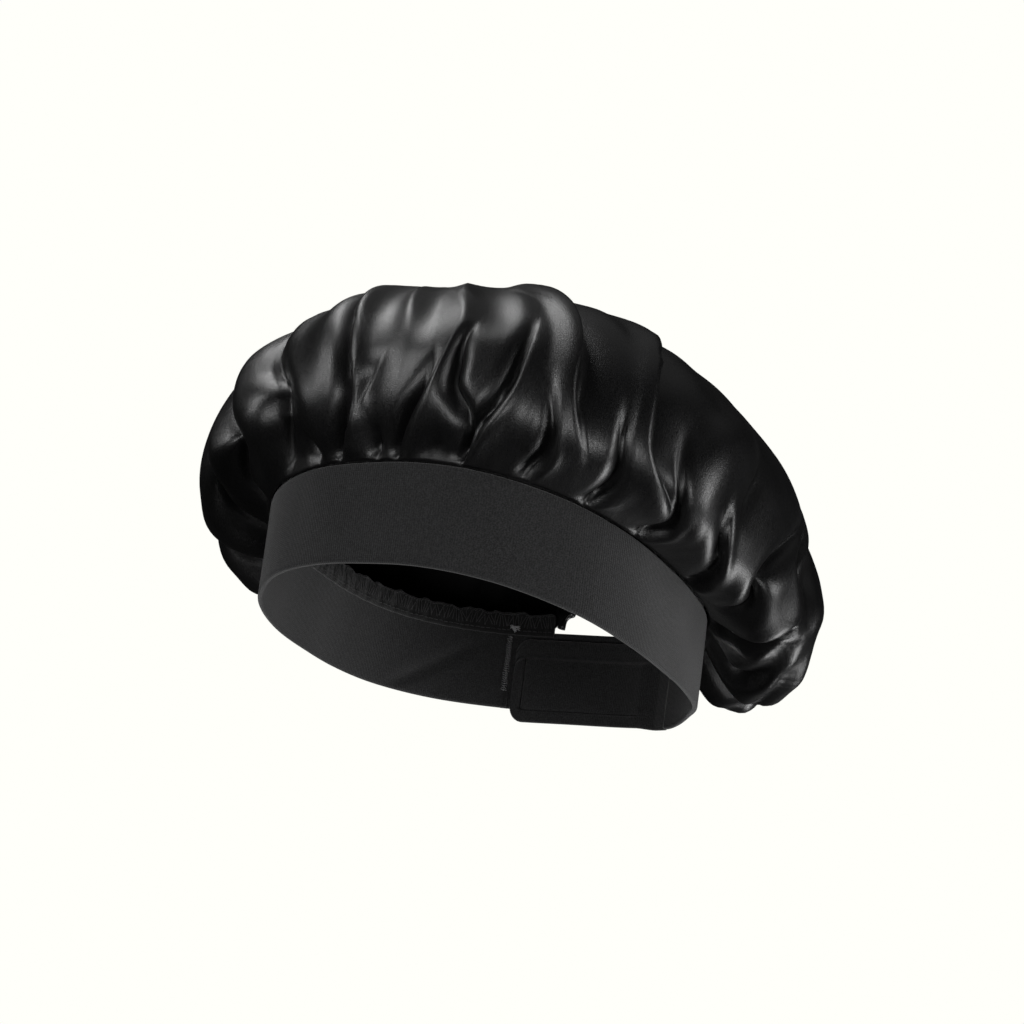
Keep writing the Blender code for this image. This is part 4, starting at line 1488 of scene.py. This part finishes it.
        sewn, free = self.plan.tab_ends
        edge = free - self.form.degrees(self.plan.stitch_inset)
        bottom, top = self.plan.stitch_levels
        seams = [on_tab(np.linspace(edge, sewn + self.stitch_start, self.seam_points), bottom),
                 on_tab(edge, np.linspace(bottom, top, self.seam_points // 3))]
        tack = self.plan.band_ends[0] + 360 + self.form.degrees(self.tack_inset)
        tall = np.linspace(*self.tack_levels, self.tack_points)
        bars = [on_band(tack + self.form.degrees(shift), tall, self.thread_lift) for shift in self.tack_lines]
        sway = self.knot_sway * np.sin(np.linspace(0, self.knot_turns, self.knot_points))
        knot = on_band(tack + np.linspace(*self.knot_azimuths, self.knot_points), self.knot_level + sway,
                       self.knot_lift)
        return [stitches.lay("tab_stitching", seams, self.top_stitch, dark),
                stitches.lay("bar_tack", bars, self.bar_stitch, grey),
                stitches.lay("thread_knot", [knot], self.knot_stitch, grey)]


@dataclass
class BackHem:
    """The rolled hem over the gap, gathered into small lobes."""

    form: BandForm
    plan: ClosurePlan
    lobes: float = 11.0
    lobe_depth: float = 0.20
    lobe_drift: float = 1.3
    drift_turns: float = 9.0
    squash: float = 0.25
    squash_start: float = 1.0
    around_steps: int = 20
    columns: int = 200
    map_length: float = 0.06
    map_step: float = 0.0006

    def build(self, satin: bpy.types.Material) -> bpy.types.Object:
        """Make the rippled roll and dress it.

        Args:
            satin: its finish.

        Returns:
            The hem.
        """
        spread = self.plan.gap_spread
        share = np.linspace(0, 1, self.columns)
        azimuths = self.plan.azimuth - spread + 2 * spread * share
        route = self.form.point(azimuths, 1.0, self.plan.hem_radius)
        route[:, 2] += self.plan.hem_radius + self.form.clearance + self.plan.arch(azimuths)
        tangent = np.gradient(route, axis=0)
        tangent /= np.linalg.norm(tangent, axis=1, keepdims=True)
        out = outward(azimuths)
        out -= tangent * (out * tangent).sum(1, keepdims=True)
        out /= np.linalg.norm(out, axis=1, keepdims=True)
        up = np.cross(out, tangent)
        phase = share * self.lobes * 2 * math.pi + self.lobe_drift * np.sin(share * self.drift_turns)
        radius = self.plan.hem_radius * (1 - self.lobe_depth + self.lobe_depth * np.sin(phase))[:, None]
        squash = 1 + self.squash * np.sin(phase + self.squash_start)[:, None]
        turn = np.linspace(0, 2 * math.pi, self.around_steps, endpoint=False)[:, None, None]
        points = route + radius * (np.cos(turn) * out + np.sin(turn) * up * squash)
        return Mesher.tube("hem_roll", points, share * self.map_length,
                           np.arange(self.around_steps + 1) * self.map_step, satin)


@dataclass(frozen=True)
class SoftBox:
    """A rectangle of light, in metres and watts."""

    name: str
    place: Point
    width: float
    height: float
    power: float

    def build(self, aim: Vector) -> None:
        """Hang the light so that it looks at a point.

        Args:
            aim: the point.
        """
        data = bpy.data.lights.new(self.name, "AREA")
        data.shape = "RECTANGLE"
        data.size = self.width
        data.size_y = self.height
        data.energy = self.power
        lamp = linked(self.name, data)
        lamp.location = self.place
        lamp.rotation_euler = (aim - Vector(self.place)).to_track_quat("-Z", "Y").to_euler()


@dataclass(frozen=True)
class Studio:
    """Pale backdrop and floor, soft lights, and the camera of the photograph."""

    azimuth: float = 32.0
    elevation: float = -15.4
    roll: float = 13.0
    distance: float = 0.580
    focal: float = 1396.0
    picture: float = 1024.0
    sensor: float = 36.0
    aim_right: float = -0.0004
    aim_up: float = 0.0604
    dim_grey: Point = (0.010, 0.010, 0.010)
    paper_white: Point = (1.0, 1.0, 0.955)
    floor_height: float = -0.90
    floor_half: float = 6.0
    floor_dark: Point = (0.86, 0.86, 0.84)
    floor_pale: Point = (0.90, 0.90, 0.88)
    floor_scale: float = 3.0
    floor_rough: float = 0.8
    floor_sun: float = 3.2
    floor_sun_width: float = 60.0
    light_aim: Point = (0.0, 0.0, 0.07)
    lights: tuple[SoftBox, ...] = (
        SoftBox("left_light", (-0.60, -1.00, 0.20), 0.30, 0.90, 4.4),
        SoftBox("right_light", (1.10, -0.05, -0.05), 0.35, 0.90, 5.4),
        SoftBox("high_light", (-0.45, -0.35, 1.00), 0.70, 0.30, 3.2),
        SoftBox("low_light", (0.48, 0.60, -0.68), 0.70, 0.45, 5.8),
        SoftBox("front_light", (0.35, -0.95, -0.50), 0.50, 0.30, 2.6),
        SoftBox("back_light", (-0.6, 1.0, 0.4), 0.60, 0.60, 4.0),
        SoftBox("top_light", (0.0, 0.0, 3.0), 3.0, 3.0, 3.0))

    def camera(self) -> None:
        """Place the camera as the photograph has it."""
        a, e, r = (math.radians(one) for one in (self.azimuth, self.elevation, self.roll))
        back = Vector((math.sin(a) * math.cos(e), -math.cos(a) * math.cos(e), math.sin(e)))
        right = Vector((math.cos(a), math.sin(a), 0))
        place = back * self.distance
        aim = right * self.aim_right + back.cross(right) * self.aim_up
        back = (place - aim).normalized()
        right = Vector((0, 0, 1)).cross(back).normalized()
        up = back.cross(right)
        side = right * math.cos(r) + up * math.sin(r)
        top = up * math.cos(r) - right * math.sin(r)
        data = bpy.data.cameras.new("camera")
        data.sensor_width = self.sensor
        data.lens = self.focal * self.sensor / self.picture
        camera = linked("camera", data)
        camera.matrix_world = Matrix((
            (side.x, top.x, back.x, place.x), (side.y, top.y, back.y, place.y),
            (side.z, top.z, back.z, place.z), (0, 0, 0, 1)))
        bpy.context.scene.camera = camera

    def backdrop(self) -> None:
        """White beyond the floor for the eye, and a dimmer grey for what lights the cloth."""
        world = bpy.data.worlds.new("backdrop")
        world.use_nodes = True
        tree = Tree(world.node_tree)
        seen = tree.value("ShaderNodeLightPath", {}, {}, "Is Camera Ray")
        colour = tree.blend(seen, self.dim_grey, self.paper_white)
        tree.feed(world.node_tree.nodes["Background"], {"Color": colour})
        bpy.context.scene.world = world
        bpy.context.scene.view_settings.view_transform = "Standard"

    def floor(self) -> bpy.types.Object:
        """Make a plain pale floor.

        Returns:
            The floor.
        """
        half = self.floor_half
        corners = np.array([(x * half, y * half, self.floor_height)
                            for x, y in ((-1, -1), (1, -1), (1, 1), (-1, 1))])
        cloth = ClothTree("pale_floor")
        cloud = cloth.noise(cloth.place, self.floor_scale)
        pale = cloth.dressed({"Base Color": cloth.blend(cloud, self.floor_dark, self.floor_pale),
                              "Roughness": self.floor_rough})
        floor = Mesher.make("floor", corners, [[0, 1, 2, 3]], corners[:, :2], pale)
        floor.visible_glossy = False
        floor.visible_diffuse = False
        return floor

    def floor_light(self, floor: bpy.types.Object) -> None:
        """Hang an even light that falls on the floor alone.

        Args:
            floor: the floor.
        """
        data = bpy.data.lights.new("floor_light", "SUN")
        data.energy = self.floor_sun
        data.angle = math.radians(self.floor_sun_width)
        lamp = linked("floor_light", data)
        lamp.location = (0.0, 0.0, 3.0)
        lit = bpy.data.collections.new("lit_by_floor_light")
        lit.objects.link(floor)
        lamp.light_linking.receiver_collection = lit

    def build(self) -> None:
        """Make the whole studio."""
        self.camera()
        self.backdrop()
        for light in self.lights:
            light.build(Vector(self.light_aim))
        floor = self.floor()
        self.floor_light(floor)


def keep(piece: bpy.types.Object, slot: str, *nodes: str) -> bpy.types.Object:
    """Let a finished piece ride on the bonnet.

    Args:
        piece: the piece.
        slot: not used.
        nodes: the plain solids that it takes the place of.

    Returns:
        The piece.
    """
    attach(piece, "root")
    if nodes:
        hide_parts(*nodes)
    log.info("%s: %d faces", piece.name, len(piece.data.polygons))
    return piece


def main() -> None:
    """Build every piece in order."""
    logging.basicConfig(level=logging.INFO, format="%(name)s: %(message)s")
    band_form = BandForm()
    plan = ClosurePlan(band_form)
    Studio().build()
    satin = SatinFinish().material()
    reverse = SatinFinish("satin_reverse", roughness=0.75, shine=0.20).material()
    knit = KnitFinish().material()
    dark = ThreadFinish("dark_thread", dark=(0.0015,) * 3, light=(0.006,) * 3).material()
    grey = ThreadFinish("grey_thread", dark=(0.20, 0.20, 0.205), light=(0.62, 0.62, 0.63)).material()
    seam_grey = ThreadFinish("seam_thread", dark=(0.020,) * 3, light=(0.110, 0.110, 0.112)).material()
    # The seam ridge's knit is a darker copy of the band's knit: painted shade for the ridge inside the band's
    # top.
    ridge_knit_painted_shade = KnitFinish("seam_allowance_painted_shade", dark=(0.003,) * 3, light=(0.012, 0.012, 0.0125)).material()
    stitches = StitchRow()

    crown = keep(Crown(CrownForm(band_form, plan)).build(satin, reverse), "satin", "crown")
    hem = keep(BackHem(band_form, plan).build(satin), "satin", "back_hem")
    band = keep(HeadBand(band_form, plan).build(knit), "knit", "band")
    seam = InnerSeam(band_form, plan)
    ridge = keep(seam.build(ridge_knit_painted_shade), "thread", "overlock_seam")
    seam_threads = [keep(piece, "thread") for piece in seam.build_threads(stitches, seam_grey)]
    closure = BackClosure(band_form, plan)
    strap = keep(closure.build_strap(knit), "knit", "outer_strap")
    tab = keep(closure.build_tab(knit), "knit", "inner_tab")
    sewing = [keep(piece, "thread") for piece in closure.build_sewing(stitches, dark, grey)]
    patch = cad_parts["closure_patch"]
    for slot in patch.material_slots:
        slot.material = TapeFinish().material()


if __name__ == "__main__":
    main()
